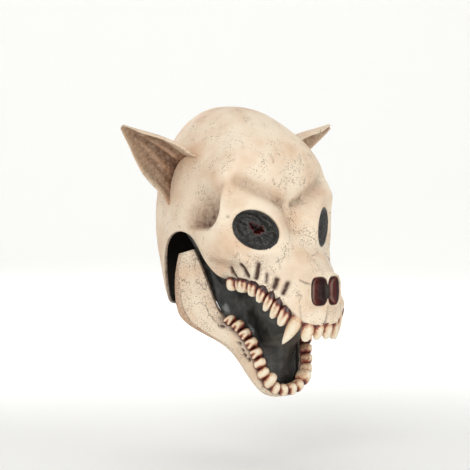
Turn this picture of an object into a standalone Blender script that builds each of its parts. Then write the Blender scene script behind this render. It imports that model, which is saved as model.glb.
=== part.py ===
"""Wolf skull mask: an over-the-head latex costume mask with an open jaw, teeth, tall ears and a black mouth lining.

Units are metres and +Z is up. The face looks along -Y. The mask hangs as it is worn, with the wearer's head bowed a little.
The origin is where the inside of the crown rests on the wearer's head.
Tables hold shares of the named sizes: out is a share of HALF_WIDTH, ahead of MUZZLE_REACH in front of the eyes and of
HEAD_DEPTH behind them, and up of CROWN_RISE above the eyes and of the drop that the piece names below them.
"""

import bmesh
import bpy
import numpy as np
from mathutils import Matrix, Vector

# Driving sizes of the whole mask
HALF_WIDTH = 0.0833
MUZZLE_REACH = 0.0627
HEAD_DEPTH = 0.1958
CROWN_RISE = 0.1331
FACE_DROP = 0.1034
JAW_DROP = 0.1837
EYES_AHEAD = 0.093

# Walls and gaps
WALL = 0.0025
LINING_WALL = 0.0016
GAP = 0.0004
LEDGE = 0.009
SWELL = 0.002
TOP = 0.6 * WALL - SWELL

# Eye sockets
SOCKET_LENGTH = 0.054
SOCKET_HEIGHT = 0.040
SOCKET_DEPTH = 0.011
SOCKET_SLANT = 30.0
SOCKET_TURN = 35.0
SIGHT_HOLE = 0.020

# Nostrils
NOSTRIL_WIDTH = 0.0150
NOSTRIL_HEIGHT = 0.0300
NOSTRIL_DEPTH = 0.009

# Ears
EAR_LENGTH = 0.093
EAR_WIDTH = 0.060
EAR_CUP = 0.020
EAR_RISE = 34.5
EAR_BACK = -1.0
EAR_WALL = 0.003
EAR_CLEAR = 0.0004

# Teeth
CANINE_LENGTH = 0.033
CANINE_WIDTH = 0.0145
LOWER_CANINE_LENGTH = 0.0175
SQUARE_TO_ROW = 0.55

# Gums, cups and the jaw's flange
GUM_HEIGHT = 0.0026
TOOTH_GAP = 0.0008
TOOTH_FILL = 0.87
LINING_CLEAR = 0.0008
CUP_WALL = 0.0015
CUP_SINK = 0.0008
FLANGE_STEP = 0.003
NOSTRIL_TURN = 0.12

# How finely the shapes are divided
SKULL_ROWS = 14
SKULL_AT = np.concatenate((np.linspace(0, 8.2, 17), np.linspace(8.2, 22, 19)[1:]))
JAW_COLUMNS = (0.0, 0.25, 0.5, 0.78, 0.88, 1.0)
CUTTER_REACH = {"eye_socket": 0.022, "nostril": 0.0115}
CUP_SIDES = {"eye_socket": 22, "nostril": 16}
EAR_SIDES = 18
JAW_AT = np.concatenate((np.linspace(0, 7.6, 16), np.linspace(7.6, 12, 10)[1:]))
LINING_AT = np.concatenate((np.linspace(0, 0.5, 10), np.linspace(0.5, 1, 9)[1:]))
LINING_ROWS = 5
TOOTH_SIDES = 7

# Colour and roughness of each material
COLOURS = {
    "bone": ((0.78, 0.66, 0.50), 0.60),
    "tooth": ((0.86, 0.76, 0.58), 0.35),
    "gum": ((0.20, 0.05, 0.04), 0.45),
    "black": ((0.02, 0.02, 0.02), 0.45),
}

# The skull from the incisors over the crown to the nape. Each row is one rib, from the middle line over a shoulder to the
# lower edge: middle (ahead, up), shoulder (out, ahead, up), edge (out, ahead, up), and ledge as a share of LEDGE.
SKULL_RIBS = (
    # middle           shoulder                  edge                      ledge
    ((0.895, -0.980), (0.000, 0.895, -0.980), (0.000, 0.895, -0.980), 1.00),
    ((0.955, -0.820), (0.100, 0.910, -0.880), (0.165, 0.880, -0.985), 1.00),
    ((0.985, -0.660), (0.180, 0.880, -0.770), (0.330, 0.775, -0.940), 1.00),
    ((0.910, -0.490), (0.205, 0.810, -0.610), (0.455, 0.650, -0.835), 1.00),
    ((0.620, -0.340), (0.260, 0.620, -0.440), (0.540, 0.465, -0.725), 1.00),
    ((0.300, -0.180), (0.390, 0.350, -0.305), (0.640, 0.280, -0.620), 1.00),
    ((0.050, -0.040), (0.560, 0.110, -0.150), (0.680, 0.020, -0.555), 1.00),
    ((-0.015, 0.065), (0.740, -0.012, -0.025), (0.680, -0.095, -0.533), 1.00),
    ((-0.010, 0.165), (0.870, -0.065, 0.090), (0.680, -0.185, -0.533), 1.00),
    ((-0.010, 0.275), (0.920, -0.103, 0.215), (0.780, -0.247, -0.480), 0.60),
    ((-0.020, 0.415), (0.900, -0.125, 0.345), (0.910, -0.298, -0.300), 0.30),
    ((-0.050, 0.580), (0.820, -0.160, 0.510), (0.990, -0.343, -0.106), 0.30),
    ((-0.140, 0.770), (0.700, -0.235, 0.635), (1.020, -0.427, -0.032), 0.30),
    ((-0.310, 0.935), (0.640, -0.370, 0.740), (1.000, -0.517, -0.053), 0.30),
    ((-0.505, 1.000), (0.630, -0.517, 0.770), (0.965, -0.596, -0.150), 0.30),
    ((-0.685, 0.960), (0.610, -0.660, 0.705), (0.900, -0.657, -0.340), 0.30),
    ((-0.843, 0.818), (0.595, -0.770, 0.560), (0.835, -0.685, -0.553), 0.30),
    ((-0.950, 0.595), (0.595, -0.850, 0.370), (0.755, -0.713, -0.723), 0.30),
    ((-1.000, 0.330), (0.580, -0.890, 0.130), (0.645, -0.747, -0.830), 0.30),
    ((-0.989, 0.050), (0.540, -0.895, -0.120), (0.500, -0.781, -0.862), 0.30),
    ((-0.927, -0.287), (0.430, -0.870, -0.400), (0.340, -0.803, -0.872), 0.30),
    ((-0.860, -0.585), (0.290, -0.843, -0.638), (0.170, -0.820, -0.872), 0.30),
    ((-0.820, -0.872), (0.000, -0.820, -0.872), (0.000, -0.820, -0.872), 0.30),
)
TOOTH_ROW_END = 8.2

# Raised and sunken forms of the skull: a round-ended stroke from one point to another (out, ahead, up), its reach as a
# share of HALF_WIDTH and its height as a share of WALL, negative for a dent.
SKULL_RELIEF = (
    # name               from                     to                       reach  height
    ("brow", (0.22, 0.02, 0.17), (0.90, -0.07, 0.27), 0.13, 1.8),
    ("brow crease", (0.10, -0.01, 0.20), (0.74, -0.08, 0.41), 0.085, -2.4),
    ("forehead boss", (0.30, -0.05, 0.55), (0.42, -0.10, 0.66), 0.38, 1.4),
    ("middle furrow", (0.00, 0.00, 0.00), (0.00, 0.00, 0.26), 0.09, -1.0),
    ("cheek boss", (0.88, -0.16, -0.16), (0.95, -0.26, -0.12), 0.21, 1.8),
    ("cheek fold", (0.84, -0.23, -0.36), (0.66, -0.04, -0.38), 0.08, -1.2),
    ("under eye", (0.62, 0.16, -0.34), (0.40, 0.50, -0.40), 0.12, -1.0),
    ("canine root", (0.37, 0.66, -0.56), (0.43, 0.66, -0.82), 0.11, 1.1),
    ("crest", (0.00, -0.14, 0.80), (0.00, -0.84, 0.85), 0.10, 0.4),
)

# The hollow behind the eye, above the cheekbone: its corners along the skull's side, as shares
TEMPLE_FRONT = -0.118
TEMPLE_REAR = -0.43
TEMPLE_FLOOR = -0.01
TEMPLE_TOP = 0.42
TEMPLE_DEPTH = 0.011

# Sunken root slots above the upper cheek teeth: top and bottom (out, ahead, up)
ROOT_SLOTS = (
    ((0.70, -0.163, -0.415), (0.69, -0.140, -0.500)),
    ((0.71, -0.075, -0.370), (0.69, -0.045, -0.480)),
    ((0.68, 0.200, -0.370), (0.68, 0.130, -0.520)),
    ((0.62, 0.370, -0.445), (0.63, 0.330, -0.530)),
    ((0.55, 0.560, -0.530), (0.58, 0.490, -0.630)),
    ((0.47, 0.700, -0.555), (0.51, 0.630, -0.680)),
)
SLOT_REACH = 0.0021
SLOT_DEPTH = 0.0016

# The lower jaw from the chin back along the teeth, up the branch behind the mouth. Up is a share of JAW_DROP below the
# eyes. Each row has the upper edge, where the teeth stand, the lower edge, and the ledge and bulge as shares of LEDGE.
JAW_SECTIONS = (
    # upper edge               lower edge                ledge  bulge
    ((0.000, -0.030, -0.985), (0.000, -0.120, -1.000), 1.00, 0.30),
    ((0.140, -0.034, -0.980), (0.130, -0.120, -0.998), 1.00, 0.30),
    ((0.280, -0.044, -0.950), (0.255, -0.122, -0.975), 1.00, 0.30),
    ((0.390, -0.056, -0.885), (0.345, -0.150, -0.915), 1.00, 0.30),
    ((0.440, -0.074, -0.795), (0.405, -0.200, -0.835), 1.00, 0.30),
    ((0.490, -0.100, -0.715), (0.465, -0.256, -0.755), 1.00, 0.30),
    ((0.540, -0.145, -0.640), (0.545, -0.320, -0.695), 0.95, 0.30),
    ((0.590, -0.210, -0.580), (0.625, -0.410, -0.650), 0.80, 0.30),
    ((0.640, -0.285, -0.520), (0.700, -0.510, -0.600), 0.50, 0.30),
    ((0.690, -0.325, -0.430), (0.750, -0.590, -0.530), 0.35, 0.25),
    ((0.735, -0.362, -0.320), (0.775, -0.610, -0.410), 0.35, 0.20),
    ((0.775, -0.402, -0.215), (0.790, -0.600, -0.280), 0.35, 0.15),
    ((0.805, -0.440, -0.130), (0.805, -0.560, -0.160), 0.35, 0.10),
)
JAW_TEETH_END = 7.6

# The black lining: upper edge inside the upper teeth, lower edge inside the jaw, and how far it sags into the mouth as
# a share of MUZZLE_REACH. Up is a share of FACE_DROP for both edges.
LINING_SAG = 0.34

# Teeth of one side, from the middle line back. width is a share of the row, which the widths fill together, depth a share
# of CANINE_WIDTH, and length a share of CANINE_LENGTH, or of LOWER_CANINE_LENGTH in the lower jaw.
UPPER_TEETH = (
    # name            width depth length
    ("incisor_1", 0.80, 0.62, 0.53),
    ("incisor_2", 0.86, 0.64, 0.60),
    ("canine", 1.05, 0.90, 1.00),
    ("cheek_tooth_1", 0.86, 0.62, 0.60),
    ("cheek_tooth_2", 0.70, 0.62, 0.60),
    ("cheek_tooth_3", 0.66, 0.62, 0.56),
    ("cheek_tooth_4", 0.78, 0.64, 0.46),
    ("cheek_tooth_5", 0.92, 0.66, 0.42),
    ("cheek_tooth_6", 1.40, 0.70, 0.40),
    ("cheek_tooth_7", 1.00, 0.66, 0.38),
)
LOWER_TEETH = (
    # name            width depth length
    ("incisor_1", 0.95, 0.62, 0.60),
    ("incisor_2", 0.92, 0.62, 0.64),
    ("canine", 1.02, 0.76, 1.00),
    ("cheek_tooth_1", 0.92, 0.66, 0.70),
    ("cheek_tooth_2", 0.90, 0.66, 0.66),
    ("cheek_tooth_3", 0.90, 0.68, 0.68),
    ("cheek_tooth_4", 0.92, 0.68, 0.70),
    ("cheek_tooth_5", 0.94, 0.70, 0.70),
    ("cheek_tooth_6", 0.94, 0.70, 0.68),
    ("cheek_tooth_7", 0.90, 0.66, 0.62),
)
# Outline of one tooth: height as a share of its length, girth as a share of its width, and how far it hooks back
TOOTH_OUTLINE = (
    # height girth  hook
    (0.00, 0.86, 0.00),
    (0.30, 1.00, 0.00),
    (0.68, 0.78, 0.10),
    (0.93, 0.36, 0.26),
)

# Outline of one ear from its root to its tip: how far along, half width and cup depth as shares of the ear's own sizes,
# and how far the middle line bows towards the back
EAR_OUTLINE = (
    # along  width  cup   bow
    (0.00, 1.00, 1.00, 0.00),
    (0.18, 0.97, 1.00, 0.03),
    (0.36, 0.84, 0.92, 0.05),
    (0.54, 0.65, 0.76, 0.05),
    (0.72, 0.43, 0.54, 0.03),
    (0.88, 0.22, 0.30, 0.01),
    (1.00, 0.07, 0.10, 0.00),
)
EAR_ROOT = (0.92, -0.525, 0.44)


def shares_to_metres(rows, drop):
    """Turns (out, ahead, up) shares into points about the crown, with ahead along -Y."""
    rows = np.asarray(rows, float)
    out, ahead, up = rows[..., 0], rows[..., 1], rows[..., 2]
    return np.stack(
        (
            out * HALF_WIDTH,
            -EYES_AHEAD - np.where(ahead > 0, ahead * MUZZLE_REACH, ahead * HEAD_DEPTH),
            np.where(up > 0, up * CROWN_RISE, up * drop) - CROWN_RISE + TOP,
        ),
        axis=-1,
    )


def through(rows, at):
    """Natural cubic spline through evenly spaced rows, read at each place in at (0 is the first row)."""
    rows = np.asarray(rows, float)
    count = len(rows)
    system = np.eye(count)
    load = np.zeros_like(rows)
    inner = np.arange(1, count - 1)
    for step, weight in ((-1, 1.0), (0, 4.0), (1, 1.0)):
        system[inner, inner + step] = weight
    load[1:-1] = 6 * (rows[2:] - 2 * rows[1:-1] + rows[:-2])
    bend = np.linalg.solve(system, load)
    first = np.clip(np.asarray(at).astype(int), 0, count - 2)
    late = (np.asarray(at) - first)[..., None]
    early = 1 - late
    return (
        early * rows[first]
        + late * rows[first + 1]
        + (early**3 - early) * bend[first] / 6
        + (late**3 - late) * bend[first + 1] / 6
    )


def hermite(start, end, leave, arrive, share):
    """Cubic curve from start to end with the given end tangents."""
    s = share[..., None]
    return (
        (2 * s**3 - 3 * s**2 + 1) * start
        + (s**3 - 2 * s**2 + s) * leave
        + (3 * s**2 - 2 * s**3) * end
        + (s**3 - s**2) * arrive
    )


def unit(vectors):
    return vectors / np.maximum(np.linalg.norm(vectors, axis=-1, keepdims=True), 1e-12)


def stroke_distance(points, start, end):
    """Distance from each point to the straight stroke between start and end."""
    line = end - start
    along = np.clip((points - start) @ line / max(float(line @ line), 1e-12), 0, 1)
    return np.linalg.norm(points - start - along[..., None] * line, axis=-1)


def ramp(value, low, high):
    """0 below low, 1 above high, smooth between. low may be above high."""
    t = np.clip((value - low) / (high - low), 0, 1)
    return t * t * (3 - 2 * t)


MIDDLE = shares_to_metres([(0.0, *row[0]) for row in SKULL_RIBS], FACE_DROP)
SHOULDER = shares_to_metres([row[1] for row in SKULL_RIBS], FACE_DROP)
EDGE = shares_to_metres([row[2] for row in SKULL_RIBS], FACE_DROP)
JAW_TOP = shares_to_metres([row[0] for row in JAW_SECTIONS], JAW_DROP)
JAW_FOOT = shares_to_metres([row[1] for row in JAW_SECTIONS], JAW_DROP)
LAST_RIB = len(SKULL_RIBS) - 1
LAST_SECTION = len(JAW_SECTIONS) - 1


def skull_form(rib, share):
    """Base point of the skull at a rib number and a share from the middle line (0) to the lower edge (1)."""
    middle, shoulder, edge = (through(rows, rib) for rows in (MIDDLE, SHOULDER, EDGE))
    level = np.zeros_like(middle)
    level[..., 0] = np.linalg.norm(shoulder - middle, axis=-1)
    turn = (edge - middle) / 2
    arrive = 1.5 * (edge - shoulder) - 0.5 * turn
    upper = hermite(middle, shoulder, level, turn, np.clip(share * 2, 0, 1))
    lower = hermite(shoulder, edge, turn, arrive, np.clip(share * 2 - 1, 0, 1))
    return np.where((share < 0.5)[..., None], upper, lower)


def normals(form, along, across, last):
    """Outward normals of form(along, across) from small steps both ways."""
    step = 0.02
    first, then = np.clip(along, step, last - step), np.clip(across, 0.002, 0.998)
    ahead = form(np.clip(first + step, 0, last), then) - form(first - step, then)
    aside = form(first, then + 0.002) - form(first, then - 0.002)
    return unit(np.cross(aside, ahead))


def temple_hollow(points):
    """Depth of the hollow behind the eye: steep at its front and floor, and fading upwards and backwards."""
    corner = shares_to_metres([(1.0, TEMPLE_FRONT, TEMPLE_FLOOR), (1.0, TEMPLE_REAR, TEMPLE_TOP)], FACE_DROP)
    crisp = 2 * WALL
    back, up = points[..., 1] - corner[0][1], points[..., 2] - corner[0][2]
    long, tall = corner[1][1] - corner[0][1], corner[1][2] - corner[0][2]
    rounding = 5 * WALL
    inside = rounding - np.hypot(np.minimum(back - rounding, 0), np.minimum(up - rounding, 0))
    front = ramp(inside, 0, crisp)
    fade = ramp(back, long, long * 0.6) * ramp(up, tall, tall * 0.6)
    side = ramp(points[..., 0], 0.5 * HALF_WIDTH, 0.75 * HALF_WIDTH)
    return TEMPLE_DEPTH * front * fade * side


def skull_relief(points):
    """Height of the raised and sunken forms at each base point, along the outward normal."""
    height = np.zeros(points.shape[:-1])
    for _, start, end, reach, lift in SKULL_RELIEF:
        ends = shares_to_metres([start, end], FACE_DROP)
        distance = stroke_distance(points, *ends) / (reach * HALF_WIDTH)
        height += lift * WALL * np.exp(-(distance**2))
    for start, end in ROOT_SLOTS:
        ends = shares_to_metres([start, end], FACE_DROP)
        height -= SLOT_DEPTH * np.exp(-((stroke_distance(points, *ends) / SLOT_REACH) ** 2))
    return height - temple_hollow(points)


def skull_surface(rib, share):
    """Point of the finished outer skull."""
    base = skull_form(rib, share)
    out = normals(skull_form, rib, share, LAST_RIB)
    fade = ramp(share, 1.0, 0.93) * ramp(rib, 0, 0.4) * ramp(rib, LAST_RIB, LAST_RIB - 0.4)
    moved = base + ((SWELL + skull_relief(base)) * fade)[..., None] * out
    keep = (share <= 0)[..., None] * np.array([1.0, 0.0, 0.0])
    return moved * (1 - keep)


def edge_frame(curve, at, last, tip):
    """Point, direction along, direction out and direction of the teeth at each place on a tooth row."""
    step = 0.05
    origin = through(curve, at)
    low, high = np.clip(at - step, 0, last), np.clip(at + step, 0, last)
    along = unit(through(curve, high) - through(curve, low))
    middle_line = (np.asarray(at) <= step)[..., None]
    along = np.where(middle_line, np.array([1.0, 0.0, 0.0]), along)
    tips = unit(tip - SQUARE_TO_ROW * (tip * along).sum(-1, keepdims=True) * along)
    out = unit(np.cross(along, tips)) * np.sign(tips[..., 2:])
    return origin, along, out, tips


def upper_tips(at):
    """The upper teeth point down, a little back and outwards."""
    return np.stack((0.10 + 0 * at, 0.22 + 0 * at, -1 + 0 * at), axis=-1)


def lower_tips(at):
    """The lower teeth stand square to the steep lower row, ahead and up."""
    return np.stack((0.12 + 0 * at, -0.80 + 0 * at, 0.62 + 0 * at), axis=-1)


def grid_faces(rows, columns):
    """Quads of a grid of rows by columns of points."""
    corner = (np.arange(rows - 1)[:, None] * columns + np.arange(columns - 1)).ravel()
    return np.stack((corner, corner + 1, corner + columns + 1, corner + columns), axis=-1)


def new_object(name, points, faces, material, solid=False):
    """A named mesh object from points and faces, with points that coincide made one and a solid's faces turned out."""
    mesh = bpy.data.meshes.new(name)
    mesh.from_pydata(points.reshape(-1, 3).tolist(), [], [list(map(int, f)) for f in faces])
    shape = bmesh.new()
    shape.from_mesh(mesh)
    bmesh.ops.remove_doubles(shape, verts=shape.verts, dist=1e-6)
    bmesh.ops.dissolve_degenerate(shape, edges=shape.edges, dist=1e-6)
    if solid:
        bmesh.ops.recalc_face_normals(shape, faces=shape.faces)
    shape.to_mesh(mesh)
    shape.free()
    mesh.materials.append(material)
    mesh.shade_smooth()
    obj = bpy.data.objects.new(name, mesh)
    bpy.context.scene.collection.objects.link(obj)
    return obj


def add_mirror(obj):
    mirror = obj.modifiers.new("other half", "MIRROR")
    mirror.merge_threshold = 0.00005
    return mirror


def add_wall(obj, thickness):
    wall = obj.modifiers.new("wall", "SOLIDIFY")
    wall.thickness = thickness
    wall.offset = -1
    return wall


def finish(name, colour, roughness):
    """A plain painted latex or cloth material."""
    material = bpy.data.materials.get(name) or bpy.data.materials.new(name)
    material.use_nodes = True
    shader = material.node_tree.nodes["Principled BSDF"]
    shader.inputs["Base Color"].default_value = (*colour, 1.0)
    shader.inputs["Roughness"].default_value = roughness
    shader.inputs["Metallic"].default_value = 0.0
    return material


def opening_frames():
    """Each opening of the left half: centre, long and short half axes, outward direction, squareness, depth, hole."""
    turn, slant = np.radians(SOCKET_TURN), np.radians(SOCKET_SLANT)
    eye, nose = shares_to_metres([(0.595, 0.0, 0.0), (0.112, 0.92, -0.600)], FACE_DROP)
    eye_level = np.array([np.cos(turn), np.sin(turn), 0.0])
    nose_level = np.array([np.cos(NOSTRIL_TURN), np.sin(NOSTRIL_TURN), 0.0])
    up = np.array([0.0, 0.0, 1.0])
    long = (np.cos(slant) * eye_level + np.sin(slant) * up) * SOCKET_LENGTH / 2
    short = (np.cos(slant) * up - np.sin(slant) * eye_level) * SOCKET_HEIGHT / 2
    return {
        "eye_socket": (eye, long, short, unit(np.cross(long, short)), 2.0, SOCKET_DEPTH, SIGHT_HOLE),
        "nostril": (
            nose,
            nose_level * NOSTRIL_WIDTH / 2,
            up * NOSTRIL_HEIGHT / 2,
            np.cross(nose_level, up),
            3.2,
            NOSTRIL_DEPTH,
            0.0,
        ),
    }


def rounded_ring(angle, squareness):
    """Two coordinates of a ring that goes from a circle (2) towards a rounded square."""
    across, upright = np.cos(angle), np.sin(angle)
    power = 2 / squareness
    return np.sign(across) * np.abs(across) ** power, np.sign(upright) * np.abs(upright) ** power


def skull_samples():
    """A dense cloud of points on the outer skull's left half, and a little over the middle line."""
    rib = np.linspace(0, LAST_RIB, 300)[:, None] + np.zeros(120)
    share = np.linspace(0, 1, 120) + np.zeros((300, 1))
    cloud = skull_surface(rib, share).reshape(-1, 3)
    near = cloud[cloud[:, 0] < 0.02]
    return np.concatenate((cloud, near * (-1, 1, 1)))


def height_on_skull(points, out, cloud, reach=0.0018, front=0.03):
    """How far along out the skull's outermost surface lies from each point, as a weighted mean of samples nearby."""
    flat = points.reshape(-1, 3)
    offset = cloud[None, :, :] - flat[:, None, :]
    along = offset @ out
    aside = (offset**2).sum(-1) - along**2
    weight = np.exp(-aside / (2 * reach**2) + along / 0.003) * (np.abs(along) < front)
    return ((weight * along).sum(1) / np.maximum(weight.sum(1), 1e-12)).reshape(points.shape[:-1])


def build_cutter(kind, frame, sides):
    """Prism that opens both sides of the skull for one pair of cups."""
    centre, long, short, out, squareness, depth, _ = frame
    across, upright = rounded_ring(np.arange(sides) * 2 * np.pi / sides, squareness)
    ring = centre + across[:, None] * long + upright[:, None] * short
    points = np.concatenate((ring - out * CUTTER_REACH[kind], ring + out * CUTTER_REACH[kind]))
    index = np.arange(sides)
    after = (index + 1) % sides
    walls = np.stack((index, after, after + sides, index + sides), axis=-1).tolist()
    cutter = new_object(
        kind + "_cutter", points, walls + [index[::-1].tolist(), (index + sides).tolist()], MATERIALS["black"], True
    )
    add_mirror(cutter)
    cutter.hide_render = True
    cutter.display_type = "WIRE"
    return cutter


def build_cup(kind, frame, cloud, sides, material, side):
    """Hollow cup that fills one opening: a rim that follows the skull, a side wall and a floor, with a hole to see by."""
    centre, long, short, out, squareness, depth, hole = frame
    angle = np.arange(sides) * 2 * np.pi / sides
    across, upright = rounded_ring(angle, squareness)
    rim = centre + across[:, None] * long + upright[:, None] * short
    lift = height_on_skull(rim, out, cloud)
    inward = unit(centre - rim)
    floor = 0.5 * lift + 0.5 * lift.mean() - depth
    wall = CUP_WALL
    radius = np.linalg.norm(rim - centre, axis=1)
    hole_edge = radius - hole / 2 * (1 - 0.36 * np.abs(upright) + 0.07 * np.sin(5 * angle)) if hole else radius * 0.82
    hole_shift = (0.10 * short - 0.03 * long) * (hole > 0)
    path = (
        # inset           along out                   share of the hole's offset
        (GAP, lift - CUP_SINK, 0.0),
        (GAP + wall, lift - CUP_SINK, 0.0),
        (GAP + 1.6 * wall, 0.35 * lift + 0.65 * floor, 0.0),
        (0.32 * radius, floor, 0.3),
        (hole_edge, floor + 0.3 * wall, 1.0),
        (hole_edge, floor - 0.8 * wall, 1.0),
        (0.28 * radius, floor - wall, 0.3),
        (GAP + 0.6 * wall, 0.35 * lift + 0.65 * floor, 0.0),
        (GAP, lift - CUP_SINK - 3 * wall, 0.0),
    )
    rings = np.stack(
        [rim + inward * np.asarray(inset + 0 * radius)[:, None] + out * along[:, None] + hole_shift * share
         for inset, along, share in path]
    )
    rings = rings * (side, 1, 1)
    count = len(path)
    ring, spoke = np.meshgrid(np.arange(count), np.arange(sides), indexing="ij")
    ring, spoke = ring.ravel(), spoke.ravel()
    next_ring, next_spoke = (ring + 1) % count, (spoke + 1) % sides
    if hole:
        keep = slice(None)
        caps = []
    else:
        keep = ring != 4
        caps = [(4 * sides + np.arange(sides)).tolist(), (5 * sides + np.arange(sides))[::-1].tolist()]
    quads = np.stack(
        (ring * sides + spoke, ring * sides + next_spoke, next_ring * sides + next_spoke, next_ring * sides + spoke),
        axis=-1,
    )[keep]
    name = kind + ("_left" if side > 0 else "_right")
    return new_object(name, rings, quads.tolist() + caps, material, solid=True)


def build_skull(material, frames):
    """Half shell of the skull with a ledge for the upper teeth, mirrored, given its wall and opened for the cups."""
    rib, share = SKULL_AT, np.linspace(0, 1, SKULL_ROWS)
    shell = skull_surface(rib[:, None] + 0 * share, 0 * rib[:, None] + share)
    _, _, out, _ = edge_frame(EDGE, rib, LAST_RIB, upper_tips(rib))
    inner = shell[:, -1] - out * skull_ledge(rib)[:, None]
    inner[:, 0] = np.maximum(inner[:, 0], 0)
    inner[0, 0] = inner[-1, 0] = 0
    points = np.concatenate((shell, inner[:, None]), axis=1)
    skull = new_object("skull", points, grid_faces(len(rib), SKULL_ROWS + 1), material)
    add_mirror(skull)
    add_wall(skull, WALL)
    for kind, sides in CUP_SIDES.items():
        opening = skull.modifiers.new(kind + " opening", "BOOLEAN")
        opening.object = build_cutter(kind, frames[kind], sides)
        opening.operation = "DIFFERENCE"
    return skull


def skull_ledge(rib):
    return np.interp(rib, np.arange(LAST_RIB + 1), [row[3] for row in SKULL_RIBS]) * LEDGE


def jaw_ledge(section):
    return np.interp(section, np.arange(LAST_SECTION + 1), [row[2] for row in JAW_SECTIONS]) * LEDGE


def jaw_surface(section, share):
    """Outer face of the lower jaw from the tooth row (share 0) over the plate to the lower edge (1)."""
    top, foot = through(JAW_TOP, section), through(JAW_FOOT, section)
    _, _, out, _ = edge_frame(JAW_TOP, section, LAST_SECTION, lower_tips(section))
    bulge = np.interp(section, np.arange(LAST_SECTION + 1), [row[3] for row in JAW_SECTIONS]) * LEDGE
    flange = ramp(section, 5.0, 8.0) * ramp(section, 11.5, 9.5)
    proud = SWELL * ramp(share, 0.0, 0.2) + 4 * share * (1 - share) * bulge + flange * FLANGE_STEP * (ramp(share, 0.0, 0.2) - ramp(share, 0.80, 0.88))
    return top + share[..., None] * (foot - top) + proud[..., None] * out


def build_jaw(material):
    """U-shaped trough under the lower teeth with a branch up each side, given its wall."""
    section, share = JAW_AT, np.array(JAW_COLUMNS)
    face = jaw_surface(section[:, None] + 0 * share, 0 * section[:, None] + share)
    _, _, out, tips = edge_frame(JAW_TOP, section, LAST_SECTION, lower_tips(section))
    ledge = jaw_ledge(section)[:, None]
    shelf = face[:, 0] - out * ledge
    curl = face[:, -1] - out * ledge * 0.5 + tips * ledge * 0.12
    points = np.concatenate((shelf[:, None], face, curl[:, None]), axis=1)
    points[0, :, 0] = 0
    jaw = new_object("lower_jaw", points, grid_faces(len(section), len(share) + 2), material)
    add_mirror(jaw)
    add_wall(jaw, WALL)
    return jaw


def lining_edges(place):
    """Upper and lower edge of the lining, and its sag, at each place from the middle line (0) to the joint (1)."""
    rib = np.interp(place, (0, 0.5, 0.8, 1), (0, TOOTH_ROW_END, 11.0, 12.4))
    section = np.interp(place, (0, 0.5, 0.8, 1), (0, JAW_TEETH_END, 10.4, LAST_SECTION))
    clear = LINING_CLEAR * (1 + 3.2 * ramp(place, 0.35, 0.6)) + LINING_WALL / 2
    above, _, out_above, tips_above = edge_frame(EDGE, rib, LAST_RIB, upper_tips(rib))
    below, _, out_below, tips_below = edge_frame(JAW_TOP, section, LAST_SECTION, lower_tips(section))
    upper = above - out_above * (skull_ledge(rib) + clear)[:, None] - tips_above * WALL * 1.4
    lower = below - out_below * (jaw_ledge(section) + clear)[:, None] - tips_below * WALL * 1.4
    return upper, lower


def lining_surface(place, share):
    """Point of the lining between its edges, sagging back into the mouth and inwards at the cheeks."""
    upper, lower = lining_edges(place[:, 0])
    front = (1 - ramp(place, 0.15, 0.75))[..., None]
    sag = np.sin(np.pi * share)[..., None] * LINING_SAG * MUZZLE_REACH
    blend = share[..., None] * (lower - upper)[:, None] + upper[:, None]
    back = np.array([0.0, 1.0, 0.25])
    inward = np.array([-1.0, 0.0, 0.0])
    cheek = (ramp(place, 0.1, 0.4) * ramp(place, 1.0, 0.6))[..., None]
    return blend + sag * (front * back + 0.30 * cheek * inward)


def build_lining(material):
    place = LINING_AT[:, None] + np.zeros(LINING_ROWS)
    share = np.linspace(0, 1, LINING_ROWS) + np.zeros((len(LINING_AT), 1))
    points = lining_surface(place, share)
    points[0, :, 0] = 0
    lining = new_object("mouth_lining", points, grid_faces(*place.shape), material)
    add_mirror(lining)
    add_wall(lining, LINING_WALL).offset = 0
    return lining


def build_gum(name, curve, last, tips_of, places, ledge_of, material):
    """Bar along a tooth row, standing a gap off the ledge, with the outer edge showing as a lip."""
    origin, _, out, tips = edge_frame(curve, places, last, tips_of(places))
    ledge = ledge_of(places)
    corners = (
        # out                   along the teeth
        (0.0006 + 0 * ledge, GAP + 0 * ledge),
        (0.0012 + 0 * ledge, GUM_HEIGHT * 0.6 + 0 * ledge),
        (-0.0005 + 0 * ledge, GUM_HEIGHT + 0 * ledge),
        (-0.5 * ledge, 0.82 * GUM_HEIGHT + 0 * ledge),
        (-ledge + 0.0012, GUM_HEIGHT + 0 * ledge),
        (-ledge + 0.0004, GAP + 0 * ledge),
    )
    half = np.stack([origin + out * a[:, None] + tips * b[:, None] for a, b in corners], axis=1)
    half[0, :, 0] = 0
    whole = np.concatenate((half[::-1], half[1:] * (-1, 1, 1)))
    rows, columns = len(whole), len(corners)
    closed = np.concatenate((whole, whole[:, :1]), axis=1)
    first = np.arange(columns)
    last_row = (rows - 1) * (columns + 1) + np.arange(columns)
    faces = grid_faces(rows, columns + 1).tolist() + [first[::-1].tolist(), last_row.tolist()]
    return new_object(name, closed, faces, material, solid=True)


def tooth_places(curve, end, table):
    """Place on the curve and width of each tooth, side by side along the row."""
    fine = np.linspace(0, end, 400)
    length = np.concatenate(([0], np.cumsum(np.linalg.norm(np.diff(through(curve, fine), axis=0), axis=1))))
    width = np.array([row[1] for row in table])
    width = width * length[-1] / width.sum()
    return np.interp(np.cumsum(width) - width / 2, length, fine), width


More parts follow.
